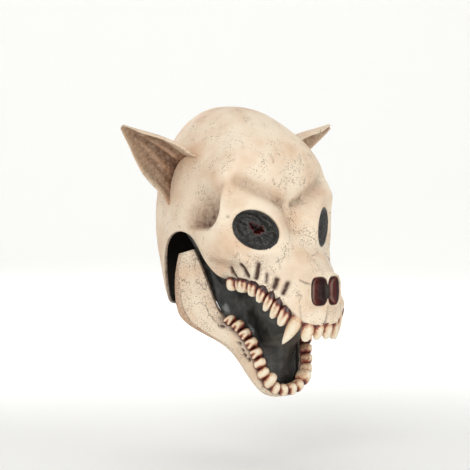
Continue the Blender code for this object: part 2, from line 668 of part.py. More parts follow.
def build_teeth(jaw, curve, last, tips_of, end, table, full_length, material):
    """Every tooth of one jaw: a blunt hooked peg on its own flat base."""
    places, widths = tooth_places(curve, end, table)
    origin, along, out, tips = edge_frame(curve, places, last, tips_of(places))
    angle = (np.arange(TOOTH_SIDES) + 0.5) * 2 * np.pi / TOOTH_SIDES
    square = np.cross(out, along) * np.sign((np.cross(out, along) * tips).sum(-1, keepdims=True))
    for index, (name, _, depth, length) in enumerate(table):
        tall = full_length * length - GUM_HEIGHT - TOOTH_GAP
        across, inward = widths[index] * TOOTH_FILL / 2, depth * CANINE_WIDTH / 2
        centre = origin[index] - out[index] * (inward * 0.80) + tips[index] * GUM_HEIGHT + square[index] * TOOTH_GAP
        rings = [
            centre
            + tips[index] * tall * height
            + out[index] * (np.sin(angle)[:, None] * inward * girth + hook * inward * -0.4)
            + along[index] * (np.cos(angle)[:, None] * across * girth + hook * across * 0.5)
            for height, girth, hook in TOOTH_OUTLINE
        ]
        point = centre + tips[index] * tall - out[index] * inward * 0.12 + along[index] * across * 0.16
        points = np.concatenate((*rings, point[None]))
        count = len(TOOTH_OUTLINE)
        spoke = np.arange(TOOTH_SIDES)
        after = (spoke + 1) % TOOTH_SIDES
        faces = [spoke[::-1].tolist()]
        for row in range(count - 1):
            low, high = row * TOOTH_SIDES, (row + 1) * TOOTH_SIDES
            faces += np.stack((low + spoke, low + after, high + after, high + spoke), axis=-1).tolist()
        top = (count - 1) * TOOTH_SIDES
        faces += [[int(top + a), int(top + b), count * TOOTH_SIDES] for a, b in zip(spoke, after)]
        for side, label in ((1, "left"), (-1, "right")):
            new_object(f"{jaw}_{name}_{label}", points * (side, 1, 1), faces, material, solid=True)


def ear_loops(along, around, cloud):
    """Closed cross sections of the left ear: around runs 0 to 1 over the hollow face and back over the outer face."""
    rise, back = np.radians(EAR_RISE), np.radians(EAR_BACK)
    axis = np.array([np.cos(rise) * np.cos(back), np.sin(back), np.sin(rise)])
    wide = np.array([-0.35, -0.65, 0.70])
    wide = unit(wide - wide @ axis * axis)
    hollow = unit(np.cross(wide, axis))
    hollow = hollow if hollow[1] < 0 else -hollow
    table = np.array(EAR_OUTLINE)
    width, cup, bow = (np.interp(along, table[:, 0], table[:, column]) for column in (1, 2, 3))
    root = shares_to_metres([EAR_ROOT], FACE_DROP)[0]
    swing = np.where(around < 0.5, 4 * around - 1, 3 - 4 * around)
    inner = around < 0.5
    bend = np.abs(swing)
    thick = EAR_WALL * np.sqrt(np.maximum(1 - bend**6, 0.0)) * np.where(inner, 0, 1)
    middle = (
        root
        + axis * (along * EAR_LENGTH)[..., None]
        + wide * (swing * width * EAR_WIDTH / 2)[..., None]
        - hollow * ((1 - bend**2) * cup * EAR_CUP + bow * EAR_LENGTH + thick)[..., None]
    )
    lift = height_on_skull(middle[0], axis, cloud, reach=0.0025, front=0.06) + EAR_CLEAR
    fade = np.clip(1 - along / 0.3, 0, 1)
    return middle + axis * (lift[None, :] * fade)[..., None]


def build_ear(cloud, material, side):
    """Leaf-shaped cup with a wall, from the side of the head out to its tip."""
    along = np.array([row[0] for row in EAR_OUTLINE])
    around = np.linspace(0, 1, EAR_SIDES + 1)[:-1]
    loops = ear_loops(along[:, None] + 0 * around, 0 * along[:, None] + around, cloud) * (side, 1, 1)
    count, rows = EAR_SIDES, len(along)
    spoke = np.arange(count)
    after = (spoke + 1) % count
    faces = []
    for row in range(rows - 1):
        low, high = row * count, (row + 1) * count
        faces += np.stack((low + spoke, low + after, high + after, high + spoke), axis=-1).tolist()
    half = count // 2
    for start in (0, (rows - 1) * count):
        rim = start + np.arange(half)
        partner = start + (count - np.arange(half)) % count
        faces += [[*dict.fromkeys((int(a), int(a) + 1, int(b), int(c)))] for a, b, c in
                  zip(rim, start + (count - np.arange(half) - 1) % count, partner)]
    return new_object("ear_left" if side > 0 else "ear_right", loops, faces, material, solid=True)


def main():
    for obj in list(bpy.data.objects):
        bpy.data.objects.remove(obj)
    for name, (colour, roughness) in COLOURS.items():
        MATERIALS[name] = finish(name, colour, roughness)
    frames, cloud = opening_frames(), skull_samples()
    build_skull(MATERIALS["bone"], frames)
    build_jaw(MATERIALS["bone"])
    build_lining(MATERIALS["black"])
    upper = SKULL_AT[SKULL_AT <= TOOTH_ROW_END]
    lower = JAW_AT[JAW_AT <= JAW_TEETH_END]
    build_gum("upper_gum", EDGE, LAST_RIB, upper_tips, upper, skull_ledge, MATERIALS["gum"])
    build_gum("lower_gum", JAW_TOP, LAST_SECTION, lower_tips, lower, jaw_ledge, MATERIALS["gum"])
    build_teeth("upper", EDGE, LAST_RIB, upper_tips, TOOTH_ROW_END, UPPER_TEETH, CANINE_LENGTH, MATERIALS["tooth"])
    build_teeth(
        "lower", JAW_TOP, LAST_SECTION, lower_tips, JAW_TEETH_END, LOWER_TEETH, LOWER_CANINE_LENGTH, MATERIALS["tooth"]
    )
    for side in (1, -1):
        build_ear(cloud, MATERIALS["bone"], side)
        build_cup("eye_socket", frames["eye_socket"], cloud, CUP_SIDES["eye_socket"], MATERIALS["black"], side)
        build_cup("nostril", frames["nostril"], cloud, CUP_SIDES["nostril"], MATERIALS["gum"], side)


MATERIALS = {}

main()
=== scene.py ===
# %% [markdown]
# # A wolf skull mask, dressed over its solids
# The real object is a latex mask that goes over the whole head: a bone-painted skull with a hanging jaw, black eye
# cups, dark red nostrils, stained teeth, two tall ears and a glossy black lining in the mouth.
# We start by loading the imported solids. They never move: every piece made below is laid over them, in the same metres.

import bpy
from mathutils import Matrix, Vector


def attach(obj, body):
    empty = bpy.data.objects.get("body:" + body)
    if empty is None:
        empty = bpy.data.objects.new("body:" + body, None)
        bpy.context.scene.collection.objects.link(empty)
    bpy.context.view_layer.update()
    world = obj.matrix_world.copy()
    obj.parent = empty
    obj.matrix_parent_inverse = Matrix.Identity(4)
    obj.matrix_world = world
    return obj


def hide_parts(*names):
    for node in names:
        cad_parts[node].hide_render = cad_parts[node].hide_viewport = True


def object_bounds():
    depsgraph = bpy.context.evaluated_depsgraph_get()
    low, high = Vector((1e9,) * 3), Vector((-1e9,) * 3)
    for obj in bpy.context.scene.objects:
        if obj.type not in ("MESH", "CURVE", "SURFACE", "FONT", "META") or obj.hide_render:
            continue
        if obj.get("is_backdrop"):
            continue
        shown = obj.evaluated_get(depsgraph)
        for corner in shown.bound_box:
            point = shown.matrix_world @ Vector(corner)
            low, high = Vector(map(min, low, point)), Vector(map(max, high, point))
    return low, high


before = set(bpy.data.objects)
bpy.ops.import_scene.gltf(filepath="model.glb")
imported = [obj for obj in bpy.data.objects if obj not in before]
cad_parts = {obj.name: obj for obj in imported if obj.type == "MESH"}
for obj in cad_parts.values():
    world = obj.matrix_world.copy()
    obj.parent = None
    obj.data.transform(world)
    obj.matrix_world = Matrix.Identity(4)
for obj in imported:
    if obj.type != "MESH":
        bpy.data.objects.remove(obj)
cad_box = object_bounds()
print("solids loaded:", len(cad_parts))

# %% [markdown]
# ## Sizes
# A mask like this is sculpted by hand, so no drawing exists. Its shape is kept as a table of ribs, and every number in
# a table is a share of one of the few sizes below. Change a size and the whole mask follows.

import bmesh
import bpy
import numpy as np
from mathutils import Vector

HALF_WIDTH = 0.0833
MUZZLE_REACH = 0.0627
HEAD_DEPTH = 0.1958
CROWN_RISE = 0.1331
FACE_DROP = 0.1034
JAW_DROP = 0.1837
EYES_AHEAD = 0.093
WALL = 0.0025
LEDGE = 0.009
SWELL = 0.002
TOP = 0.6 * WALL - SWELL
MM = 0.001
print("mask width across the cheeks:", round(2 * HALF_WIDTH / MM), "mm")

# %% [markdown]
# ## The camera first
# The camera decides how fine the detail has to be, so it comes before the pieces. The photograph looks at the mask
# from its own right, a little from above, through a long lens. One pixel covers about 1.1 mm at the eyes, and that
# is the finest detail worth modelling. Everything smaller is left to the materials.

# %% Camera
VIEW_TURN, VIEW_TILT = np.radians(-40.0), np.radians(3.0)
VIEW_DISTANCE = 2.4
PHOTO_PIXELS = 470
PIXEL = 1.1 * MM
EYE_LEVEL_PIXEL = (290, 229)
SENSOR = 36.0

back = Vector((np.sin(VIEW_TURN) * np.cos(VIEW_TILT), -np.cos(VIEW_TURN) * np.cos(VIEW_TILT), np.sin(VIEW_TILT)))
right = Vector((np.cos(VIEW_TURN), np.sin(VIEW_TURN), 0.0))
up = back.cross(right)
aim = Vector((0, -EYES_AHEAD, TOP - CROWN_RISE))
aim += right * (PHOTO_PIXELS / 2 - EYE_LEVEL_PIXEL[0]) * PIXEL + up * (EYE_LEVEL_PIXEL[1] - PHOTO_PIXELS / 2) * PIXEL
camera = bpy.data.objects.new("camera", bpy.data.cameras.new("camera"))
camera.data.sensor_width = SENSOR
camera.data.lens = SENSOR * VIEW_DISTANCE / (PHOTO_PIXELS * PIXEL)
camera.location = aim + back * VIEW_DISTANCE
camera.rotation_euler = (-back).to_track_quat("-Z", "Y").to_euler()
bpy.context.scene.collection.objects.link(camera)
bpy.context.scene.camera = camera
print("lens:", round(camera.data.lens), "mm at", VIEW_DISTANCE, "m")

# %% [markdown]
# ## Curves and surfaces with numpy
# A surface here is a function of two parameters, worked out for a whole grid of values at once. These helpers are the
# vocabulary: a spline through table rows, a curve between two points, a smooth step, and distances to a stroke.

# %% Curve helpers
def shares_to_metres(rows, drop):
    """Point = (out x half width, eyes minus ahead x reach or depth, up x rise or drop), measured from the crown."""
    rows = np.asarray(rows, float)
    out, ahead, rise = rows[..., 0], rows[..., 1], rows[..., 2]
    forward = np.where(ahead > 0, ahead * MUZZLE_REACH, ahead * HEAD_DEPTH)
    height = np.where(rise > 0, rise * CROWN_RISE, rise * drop)
    return np.stack((out * HALF_WIDTH, -EYES_AHEAD - forward, height - CROWN_RISE + TOP), axis=-1)


def through(rows, at):
    """Natural cubic spline through evenly spaced rows: its second differences solve a three-term linear system."""
    rows = np.asarray(rows, float)
    count = len(rows)
    system, load = np.eye(count), np.zeros_like(rows)
    inner = np.arange(1, count - 1)
    for step, weight in ((-1, 1.0), (0, 4.0), (1, 1.0)):
        system[inner, inner + step] = weight
    load[1:-1] = 6 * (rows[2:] - 2 * rows[1:-1] + rows[:-2])
    bend = np.linalg.solve(system, load)
    first = np.clip(np.asarray(at).astype(int), 0, count - 2)
    late = (np.asarray(at) - first)[..., None]
    early = 1 - late
    straight = early * rows[first] + late * rows[first + 1]
    return straight + (early**3 - early) * bend[first] / 6 + (late**3 - late) * bend[first + 1] / 6


def hermite(start, end, leave, arrive, share):
    """Cubic from start to end that leaves along leave and arrives along arrive."""
    s = share[..., None]
    ends = (2 * s**3 - 3 * s**2 + 1) * start + (3 * s**2 - 2 * s**3) * end
    return ends + (s**3 - 2 * s**2 + s) * leave + (s**3 - s**2) * arrive


def unit(vectors):
    """Each vector divided by its own length."""
    return vectors / np.maximum(np.linalg.norm(vectors, axis=-1, keepdims=True), 1e-12)


def ramp(value, low, high):
    """0 at low, 1 at high and 3t^2 - 2t^3 between them. Low may be the larger."""
    t = np.clip((value - low) / (high - low), 0, 1)
    return t * t * (3 - 2 * t)


def circle(count):
    """Evenly spaced angles once round, without the repeated last one."""
    return np.linspace(0, 2 * np.pi, count, endpoint=False)


def bell(distance):
    """exp(-distance squared): 1 in the middle, nearly 0 at twice the reach."""
    return np.exp(-(distance**2))


def stroke_distance(points, start, end, normal=None):
    """Distance from each point to the straight stroke between start and end, or only the part of it along the skin."""
    line = end - start
    along = np.clip((points - start) @ line / max(float(line @ line), 1e-12), 0, 1)
    gap = points - start - along[..., None] * line
    if normal is None:
        return np.linalg.norm(gap, axis=-1)
    lift = (gap * normal).sum(-1)
    return np.linalg.norm(gap - lift[..., None] * normal, axis=-1) + 9 * (np.abs(lift) > 15 * MM)


def ripple(first, second, seed):
    """Smooth unevenness between -1 and 1: the mean of five crossed sine waves with fixed odd phases."""
    total = 0 * first
    for turn in range(1, 6):
        angle = seed + 1.9 * turn
        total = total + np.sin((first * np.cos(angle) + second * np.sin(angle)) * (0.7 + 0.33 * turn) + 2.3 * angle)
    return total / 5


print("spline check, the middle of 0, 1, 4:", float(through([[0.0], [1.0], [4.0]], np.array([1.0]))[0, 0]))

# %% [markdown]
# ## From a grid to a mesh
# A grid of points becomes quads by joining each point to the next in its row and column. Points that coincide, such as
# a pole where a whole row meets, are merged, so that no seam stays open. Paint masks ride along as attributes: one
# number a point, which a material reads where a wash or a stain follows the shape.

# %% Mesh helpers
SIDES = ((1, "left"), (-1, "right"))


def grid_quads(rows, columns, loop=False):
    """Quads of a grid of points. With loop, the last column joins the first."""
    row = np.arange(rows - 1)[:, None]
    column = np.arange(columns if loop else columns - 1)
    after = (column + 1) % columns
    corners = (row * columns + column, row * columns + after, (row + 1) * columns + after, (row + 1) * columns + column)
    return np.stack(corners, axis=-1).reshape(-1, 4)


def mirrored(half, axis=0):
    """The other half in reverse, without the shared middle line, then this half. Points get their x turned over."""
    other = np.flip(np.delete(half, 0, axis), axis)
    return np.concatenate((other * ((-1, 1, 1) if half.ndim == 3 else 1), half), axis=axis)


def make_piece(name, points, quads, material, paint, slot, flip=False, solid=False, caps=()):
    """A named mesh from points and quads, with its paint masks, riding on the one body of the mask."""
    mesh = bpy.data.meshes.new(name)
    faces = quads[:, ::-1] if flip else quads
    mesh.from_pydata(points.reshape(-1, 3).tolist(), [], faces.tolist() + [list(map(int, cap)) for cap in caps])
    for mask, values in paint.items():
        layer = mesh.attributes.new(mask, "FLOAT", "POINT")
        layer.data.foreach_set("value", np.ascontiguousarray(values, np.float32).ravel())
    shape = bmesh.new()
    shape.from_mesh(mesh)
    bmesh.ops.remove_doubles(shape, verts=shape.verts, dist=0.01 * MM)
    bmesh.ops.dissolve_degenerate(shape, edges=shape.edges, dist=0.005 * MM)
    bmesh.ops.delete(shape, geom=[v for v in shape.verts if not v.link_faces], context="VERTS")
    if solid:
        bmesh.ops.recalc_face_normals(shape, faces=shape.faces)
    shape.to_mesh(mesh)
    shape.free()
    mesh.materials.append(material)
    mesh.shade_smooth()
    piece = bpy.data.objects.new(name, mesh)
    bpy.context.scene.collection.objects.link(piece)
    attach(piece, "root")
    return piece


def add_wall(piece, thickness, inside=None):
    """Gives a skin its wall, inwards. The inner face may have a material of its own."""
    wall = piece.modifiers.new("wall", "SOLIDIFY")
    wall.thickness, wall.offset = thickness, -1
    wall.use_quality_normals = True
    if inside:
        piece.data.materials.append(inside)
        wall.material_offset = 1
    return piece


print("a 3 by 4 grid has", len(grid_quads(3, 4)), "quads")

# %% [markdown]
# ## Building materials from nodes
# Colours are written as the hex values that a paint chart would give, and one function turns them into the linear
# values that the renderer works in. One more small function adds a node with its settings and its links.

# %% Colour and node helpers
def paint_colour(hex_value):
    """sRGB to linear: divide by 12.92 near black, and raise (value + 0.055) / 1.055 to the power 2.4 above it."""
    channels = np.array([int(hex_value[i:i + 2], 16) / 255 for i in (1, 3, 5)])
    linear = np.where(channels <= 0.04045, channels / 12.92, ((channels + 0.055) / 1.055) ** 2.4)
    return (*linear.tolist(), 1.0)


def add(tree, kind, inputs, give=0, **settings):
    """Adds a node, sets its own properties, sets or links its inputs, and returns one of its outputs."""
    node = tree.nodes.new("ShaderNode" + kind)
    for key, value in settings.items():
        setattr(node, key, value)
    for key, value in inputs.items():
        if isinstance(value, bpy.types.NodeSocket):
            tree.links.new(value, node.inputs[key])
        else:
            node.inputs[key].default_value = value
    return node.outputs[give]


def new_material(name, roughness):
    """An empty material with one Principled shader, and the point being shaded in the object's own metres."""
    material = bpy.data.materials.new(name)
    material.use_nodes = True
    tree = material.node_tree
    shader = tree.nodes["Principled BSDF"]
    shader.inputs["Roughness"].default_value = roughness
    place = add(tree, "TexCoord", {}, "Object")
    return material, tree, shader, place


print("cream in linear light:", [round(c, 3) for c in paint_colour("#EBD8BC")[:3]])

# %% [markdown]
# ## Painted latex bone
# The skin is natural latex, cast in a plaster mould and sponged with bone colours, then washed with thin brown paint
# that stays in the hollows. To the eye that gives a satin surface, a cream ground clouded with tan, brown in every
# crease, a fine dark stipple and a few hairline cracks. The same brown layer also carries painted shade, in the temple
# hollows and inside the ears. Latex has an index of refraction of about 1.52.

# %% Bone material
CLOUD_SIZE, PATCH_SIZE, CRACKED_SIZE = 34 * MM, 20 * MM, 15 * MM
SMUDGE_SIZE, STIPPLE_SIZE, PORE_SIZE = 4 * MM, 1.3 * MM, 0.9 * MM
CRACK_SPACING, CRACK_BEND, CRACK_WIDTH = 26 * MM, 9 * MM, 0.55 * MM
LATEX_IOR = 1.52


def painted_latex_bone(name, ground="#F1E0C8", shade="#E2C4A6"):
    """Ground, then five layers through masks: clouds, blush, brown wash with painted shade, stipple and cracks."""
    material, tree, shader, place = new_material(name, 0.5)
    shader.inputs["IOR"].default_value = LATEX_IOR
    hollow, blush, grain = (
        add(tree, "Attribute", {}, "Fac", attribute_name=mask) for mask in ("hollow", "blush", "grain")
    )
    noises = (
        (CLOUD_SIZE, 4.0), (SMUDGE_SIZE, 5.0), (PATCH_SIZE, 2.0),
        (STIPPLE_SIZE, 1.5), (CRACKED_SIZE, 2.0), (PORE_SIZE, 3.0),
    )
    cloud, smudge, patch, dots, kept, pores = (
        add(tree, "TexNoise", {"Vector": place, "Scale": 1 / size, "Detail": detail}) for size, detail in noises
    )
    cloud = add(tree, "MapRange", {0: cloud, 1: 0.42, 2: 0.68})
    blotch = add(tree, "MapRange", {0: smudge, 1: 0.3, 2: 0.7, 3: 0.65, 4: 1.20})
    tint, wash_and_shade = (
        add(tree, "Math", {0: mask, 1: blotch}, operation="MULTIPLY", use_clamp=True) for mask in (blush, hollow)
    )

    # Stipple: dark paint flicked on, thick in patches. Real dots are 0.3 to 1 mm wide.
    patch = add(tree, "MapRange", {0: patch, 1: 0.40, 2: 0.66})
    patch = add(tree, "Math", {0: patch, 1: grain}, operation="ADD", use_clamp=True)
    level = add(tree, "MapRange", {0: patch, 1: 0.0, 2: 1.0, 3: 0.74, 4: 0.56})
    dots = add(tree, "Math", {0: dots, 1: level}, operation="SUBTRACT")
    dots = add(tree, "MapRange", {0: dots, 1: 0.0, 2: 0.05, 3: 0.0, 4: 0.62})

    # Cracks: the borders of uneven cells, bent by noise, kept only in places.
    bent = add(tree, "TexNoise", {"Vector": place, "Scale": 1 / CRACK_BEND, "Detail": 4.0}, 1)
    bent = add(tree, "VectorMath", {0: bent, "Scale": CRACK_BEND}, operation="SCALE")
    bent = add(tree, "VectorMath", {0: bent, 1: place}, operation="ADD")
    cells = {"Vector": bent, "Scale": 1 / CRACK_SPACING}
    border = add(tree, "TexVoronoi", cells, feature="DISTANCE_TO_EDGE")
    crack = add(tree, "MapRange", {0: border, 1: 0.0, 2: CRACK_WIDTH / CRACK_SPACING, 3: 1.0, 4: 0.0})
    kept = add(tree, "Math", {0: grain, 1: 0.25, 2: kept}, operation="MULTIPLY_ADD")
    kept = add(tree, "MapRange", {0: kept, 1: 0.60, 2: 0.68, 3: 0.0, 4: 0.75})
    crack = add(tree, "Math", {0: crack, 1: kept}, operation="MULTIPLY")

    # The brown layer #47291A is the wash in the hollows, and painted shade in the temple hollows and inside the ears.
    colour = paint_colour(ground)
    for mask, layer in ((cloud, shade), (tint, "#B37F58"), (wash_and_shade, "#47291A"), (dots, "#6B5242"), (crack, "#4E382A")):
        colour = add(tree, "Mix", {0: mask, 6: colour, 7: paint_colour(layer)}, 2, data_type="RGBA")
    tree.links.new(colour, shader.inputs["Base Color"])
    height = pores
    for mask, weight in ((smudge, 1.5), (crack, -2.5), (dots, -0.8)):
        height = add(tree, "Math", {0: mask, 1: weight, 2: height}, operation="MULTIPLY_ADD")
    bump = add(tree, "Bump", {"Strength": 0.55, "Distance": 0.22 * MM, "Height": height})
    tree.links.new(bump, shader.inputs["Normal"])
    gloss = add(tree, "MapRange", {0: smudge, 1: 0.3, 2: 0.7, 3: 0.42, 4: 0.62})
    tree.links.new(gloss, shader.inputs["Roughness"])
    return material


bone = painted_latex_bone("painted_latex_bone")
print("bone nodes:", len(bone.node_tree.nodes))

# %% [markdown]
# ## The other finishes
# Teeth are the same latex with a harder, glossier coat: cream at the tips, tan lower down, and a dark red stain that
# was brushed between them and left to run. The lining is black latex, dipped and shiny, with faint brush ribs. The eye
# cups are brushed with black paint that dried in ridges. The inside of the skin is dark brown, as painted shade for the
# inside of the head.

# %% Stained, black and dark latex
STAIN_SIZE, POUR_SIZE, RIB_SPACING = 2.2 * MM, 25 * MM, 2.2 * MM


def stained_latex(name, tip, body, stain_and_shade, dark, roughness):
    """Tip colour through body colour to a stain, by the stain mask, with uneven edges. In the nostrils the mask also
    carries painted shade and a painted highlight.
    """
    material, tree, shader, place = new_material(name, roughness)
    shader.inputs["IOR"].default_value = LATEX_IOR
    mask = add(tree, "Attribute", {}, "Fac", attribute_name="stain_and_shade")
    smudge = add(tree, "TexNoise", {"Vector": place, "Scale": 1 / STAIN_SIZE, "Detail": 4.0})
    uneven = add(tree, "Math", {0: smudge, 1: 0.55, 2: -0.275}, operation="MULTIPLY_ADD")
    level = add(tree, "Math", {0: mask, 1: uneven}, operation="ADD")
    colour = paint_colour(tip)
    for low, high, layer in ((0.02, 0.38, body), (0.34, 0.62, stain_and_shade), (0.70, 1.0, dark)):
        share = add(tree, "MapRange", {0: level, 1: low, 2: high})
        colour = add(tree, "Mix", {0: share, 6: colour, 7: paint_colour(layer)}, 2, data_type="RGBA")
    tree.links.new(colour, shader.inputs["Base Color"])
    bump = add(tree, "Bump", {"Strength": 0.4, "Distance": 0.3 * MM, "Height": smudge})
    tree.links.new(bump, shader.inputs["Normal"])
    return material


def black_latex(name, colour, roughness, brush_size, relief):
    """Glossy black skin with long soft brush marks, and ribs where the mask called ribs counts metres."""
    material, tree, shader, place = new_material(name, roughness)
    shader.inputs["IOR"].default_value = LATEX_IOR
    flesh, metres, shown = (
        add(tree, "Attribute", {}, "Fac", attribute_name=mask) for mask in ("flesh", "ribs", "ribbed")
    )
    marks = {"Vector": place, "Scale": 1 / brush_size, "Detail": 4.0, "Distortion": 1.2}
    brush = add(tree, "TexNoise", marks)
    dusty = add(tree, "MapRange", {0: brush, 1: 0.45, 2: 0.75})
    tone = paint_colour(colour)
    for mask, layer in ((dusty, "#4A4843"), (flesh, "#4A140F")):
        tone = add(tree, "Mix", {0: mask, 6: tone, 7: paint_colour(layer)}, 2, data_type="RGBA")
    tree.links.new(tone, shader.inputs["Base Color"])
    wave = add(tree, "Math", {0: metres, 1: 2 * np.pi / RIB_SPACING}, operation="MULTIPLY")
    wave = add(tree, "Math", {0: wave}, operation="SINE")
    wave = add(tree, "Math", {0: wave, 1: shown}, operation="MULTIPLY")
    height = add(tree, "Math", {0: brush, 1: 2.0, 2: wave}, operation="MULTIPLY_ADD")
    bump = add(tree, "Bump", {"Strength": 0.8, "Distance": relief, "Height": height})
    tree.links.new(bump, shader.inputs["Normal"])
    return material


def dark_latex(name):
    """The inside of the skin, dark brown as painted shade for the inside of the head: dull, with the marks of the pour.
    """
    material, tree, shader, place = new_material(name, 0.7)
    marks = {"Vector": place, "Scale": 1 / POUR_SIZE, "Detail": 3.0, "Distortion": 0.6}
    pour = add(tree, "TexNoise", marks)
    # Painted shade: the inside is dark brown so that the head looks dark through the eye holes.
    colours = {0: pour, 6: paint_colour("#3A2E24"), 7: paint_colour("#241C17")}
    tone = add(tree, "Mix", colours, 2, data_type="RGBA")
    tree.links.new(tone, shader.inputs["Base Color"])
    bump = add(tree, "Bump", {"Strength": 0.5, "Distance": 0.5 * MM, "Height": pour})
    tree.links.new(bump, shader.inputs["Normal"])
    return material


tooth_coat = stained_latex("stained_latex_tooth", "#F4E6CC", "#DDB892", "#8A4232", "#35110C", 0.34)
gum_coat = stained_latex("stained_latex_gum", "#B98A70", "#8E4A3A", "#5E1E17", "#2C0C09", 0.36)
nostril_coat = stained_latex("stained_and_shaded_latex_nostril", "#8C7567", "#6F2A20", "#54150E", "#2A0806", 0.62)
lining_coat = black_latex("dipped_black_latex", "#222220", 0.28, 14 * MM, 0.25 * MM)
cup_coat = black_latex("brushed_black_latex", "#232321", 0.30, 3.0 * MM, 0.9 * MM)
inside = dark_latex("dark_latex_inside")
print("finishes:", [m.name for m in (bone, tooth_coat, gum_coat, nostril_coat, lining_coat, cup_coat, inside)])

# %% [markdown]
# ## The skull
# The skull is the large shell that holds everything else. Twenty-three ribs run from the incisors over the crown to the
# nape, each given by three points: on the middle line, on the shoulder of the form and on the lower edge. A spline
# joins the ribs one way, and a curve crosses each rib the other way, so the shell is one function of (rib, share).

# %% Ribs of the skull
SKULL_RIBS = (
    # middle           shoulder                  edge                      ledge
    ((0.895, -0.980), (0.000, 0.895, -0.980), (0.000, 0.895, -0.980), 1.00),
    ((0.955, -0.820), (0.100, 0.910, -0.880), (0.165, 0.880, -0.985), 1.00),
    ((0.985, -0.660), (0.180, 0.880, -0.770), (0.330, 0.775, -0.940), 1.00),
    ((0.910, -0.490), (0.205, 0.810, -0.610), (0.455, 0.650, -0.835), 1.00),
    ((0.620, -0.340), (0.260, 0.620, -0.440), (0.540, 0.465, -0.725), 1.00),
    ((0.300, -0.180), (0.390, 0.350, -0.305), (0.640, 0.280, -0.620), 1.00),
    ((0.050, -0.040), (0.560, 0.110, -0.150), (0.680, 0.020, -0.555), 1.00),
    ((-0.015, 0.065), (0.740, -0.012, -0.025), (0.680, -0.095, -0.533), 1.00),
    ((-0.010, 0.165), (0.870, -0.065, 0.090), (0.680, -0.185, -0.533), 1.00),
    ((-0.010, 0.275), (0.920, -0.103, 0.215), (0.780, -0.247, -0.480), 0.60),
    ((-0.020, 0.415), (0.900, -0.125, 0.345), (0.910, -0.298, -0.300), 0.30),
    ((-0.050, 0.580), (0.820, -0.160, 0.510), (0.990, -0.343, -0.106), 0.30),
    ((-0.140, 0.770), (0.700, -0.235, 0.635), (1.020, -0.427, -0.032), 0.30),
    ((-0.310, 0.935), (0.640, -0.370, 0.740), (1.000, -0.517, -0.053), 0.30),
    ((-0.505, 1.000), (0.630, -0.517, 0.770), (0.965, -0.596, -0.150), 0.30),
    ((-0.685, 0.960), (0.610, -0.660, 0.705), (0.900, -0.657, -0.340), 0.30),
    ((-0.843, 0.818), (0.595, -0.770, 0.560), (0.835, -0.685, -0.553), 0.30),
    ((-0.950, 0.595), (0.595, -0.850, 0.370), (0.755, -0.713, -0.723), 0.30),
    ((-1.000, 0.330), (0.580, -0.890, 0.130), (0.645, -0.747, -0.830), 0.30),
    ((-0.989, 0.050), (0.540, -0.895, -0.120), (0.500, -0.781, -0.862), 0.30),
    ((-0.927, -0.287), (0.430, -0.870, -0.400), (0.340, -0.803, -0.872), 0.30),
    ((-0.860, -0.585), (0.290, -0.843, -0.638), (0.170, -0.820, -0.872), 0.30),
    ((-0.820, -0.872), (0.000, -0.820, -0.872), (0.000, -0.820, -0.872), 0.30),
)
MIDDLE = shares_to_metres([(0.0, *row[0]) for row in SKULL_RIBS], FACE_DROP)
SHOULDER = shares_to_metres([row[1] for row in SKULL_RIBS], FACE_DROP)
EDGE = shares_to_metres([row[2] for row in SKULL_RIBS], FACE_DROP)
LAST_RIB = len(SKULL_RIBS) - 1
TOOTH_ROW_END = 8.2


def skull_form(rib, share):
    """Along each rib, one cubic from the middle line to the shoulder and one from there to the lower edge."""
    middle, shoulder, edge = (through(rows, rib) for rows in (MIDDLE, SHOULDER, EDGE))
    level = np.zeros_like(middle)
    level[..., 0] = np.linalg.norm(shoulder - middle, axis=-1)
    turn = (edge - middle) / 2
    arrive = 1.5 * (edge - shoulder) - 0.5 * turn
    upper = hermite(middle, shoulder, level, turn, np.clip(share * 2, 0, 1))
    lower = hermite(shoulder, edge, turn, arrive, np.clip(share * 2 - 1, 0, 1))
    return np.where((share < 0.5)[..., None], upper, lower)


def normals(form, along, across, last):
    """Cross product of small steps both ways over a surface."""
    step, side_step = 0.02, 0.002
    first, then = np.clip(along, step, last - step), np.clip(across, side_step, 1 - side_step)
    ahead = form(first + step, then) - form(first - step, then)
    aside = form(first, then + side_step) - form(first, then - side_step)
    return unit(np.cross(aside, ahead))


print("ribs:", len(SKULL_RIBS), "crown rise:", round(CROWN_RISE / MM, 1), "mm")

# %% [markdown]
# ## Bosses, creases and paint of the skull
# A sculptor adds lumps of clay and drags a tool through them. Each row below is one such stroke: a line from one point
# to another, how wide it reaches, how high or deep it goes, and how much brown wash stays in it.

# %% Strokes
SKULL_STROKES = (
    # name                 from                     to                       reach  height  wash
    ("brow", (0.22, 0.02, 0.17), (0.90, -0.07, 0.27), 0.130, 1.8, 0.00),
    ("brow crease", (0.10, -0.01, 0.20), (0.74, -0.08, 0.41), 0.085, -2.9, 0.24),
    ("crease end", (0.10, -0.01, 0.20), (0.24, -0.02, 0.24), 0.050, -0.9, 0.46),
    ("forehead boss", (0.30, -0.05, 0.55), (0.42, -0.10, 0.66), 0.380, 1.4, 0.00),
    ("middle furrow", (0.00, 0.00, 0.00), (0.00, 0.00, 0.26), 0.090, -1.0, 0.10),
    ("furrow line", (0.00, 0.00, -0.05), (0.00, 0.00, 0.30), 0.022, -0.35, 0.25),
    ("cheek boss", (0.88, -0.16, -0.16), (0.95, -0.26, -0.12), 0.210, 1.8, 0.00),
    ("cheek fold", (0.84, -0.23, -0.36), (0.66, -0.04, -0.38), 0.080, -1.2, 0.22),
    ("under eye", (0.62, 0.16, -0.34), (0.40, 0.50, -0.40), 0.120, -1.0, 0.05),
    ("canine root", (0.37, 0.66, -0.56), (0.43, 0.66, -0.82), 0.110, 1.1, 0.00),
    ("crest", (0.00, -0.14, 0.80), (0.00, -0.84, 0.85), 0.100, 0.4, 0.00),
    ("snout seam", (0.00, 0.95, -0.78), (0.00, 0.90, -0.96), 0.014, -0.35, 0.75),
    ("bridge seam", (0.00, 0.30, -0.18), (0.00, 0.80, -0.42), 0.016, -0.18, 0.12),
)
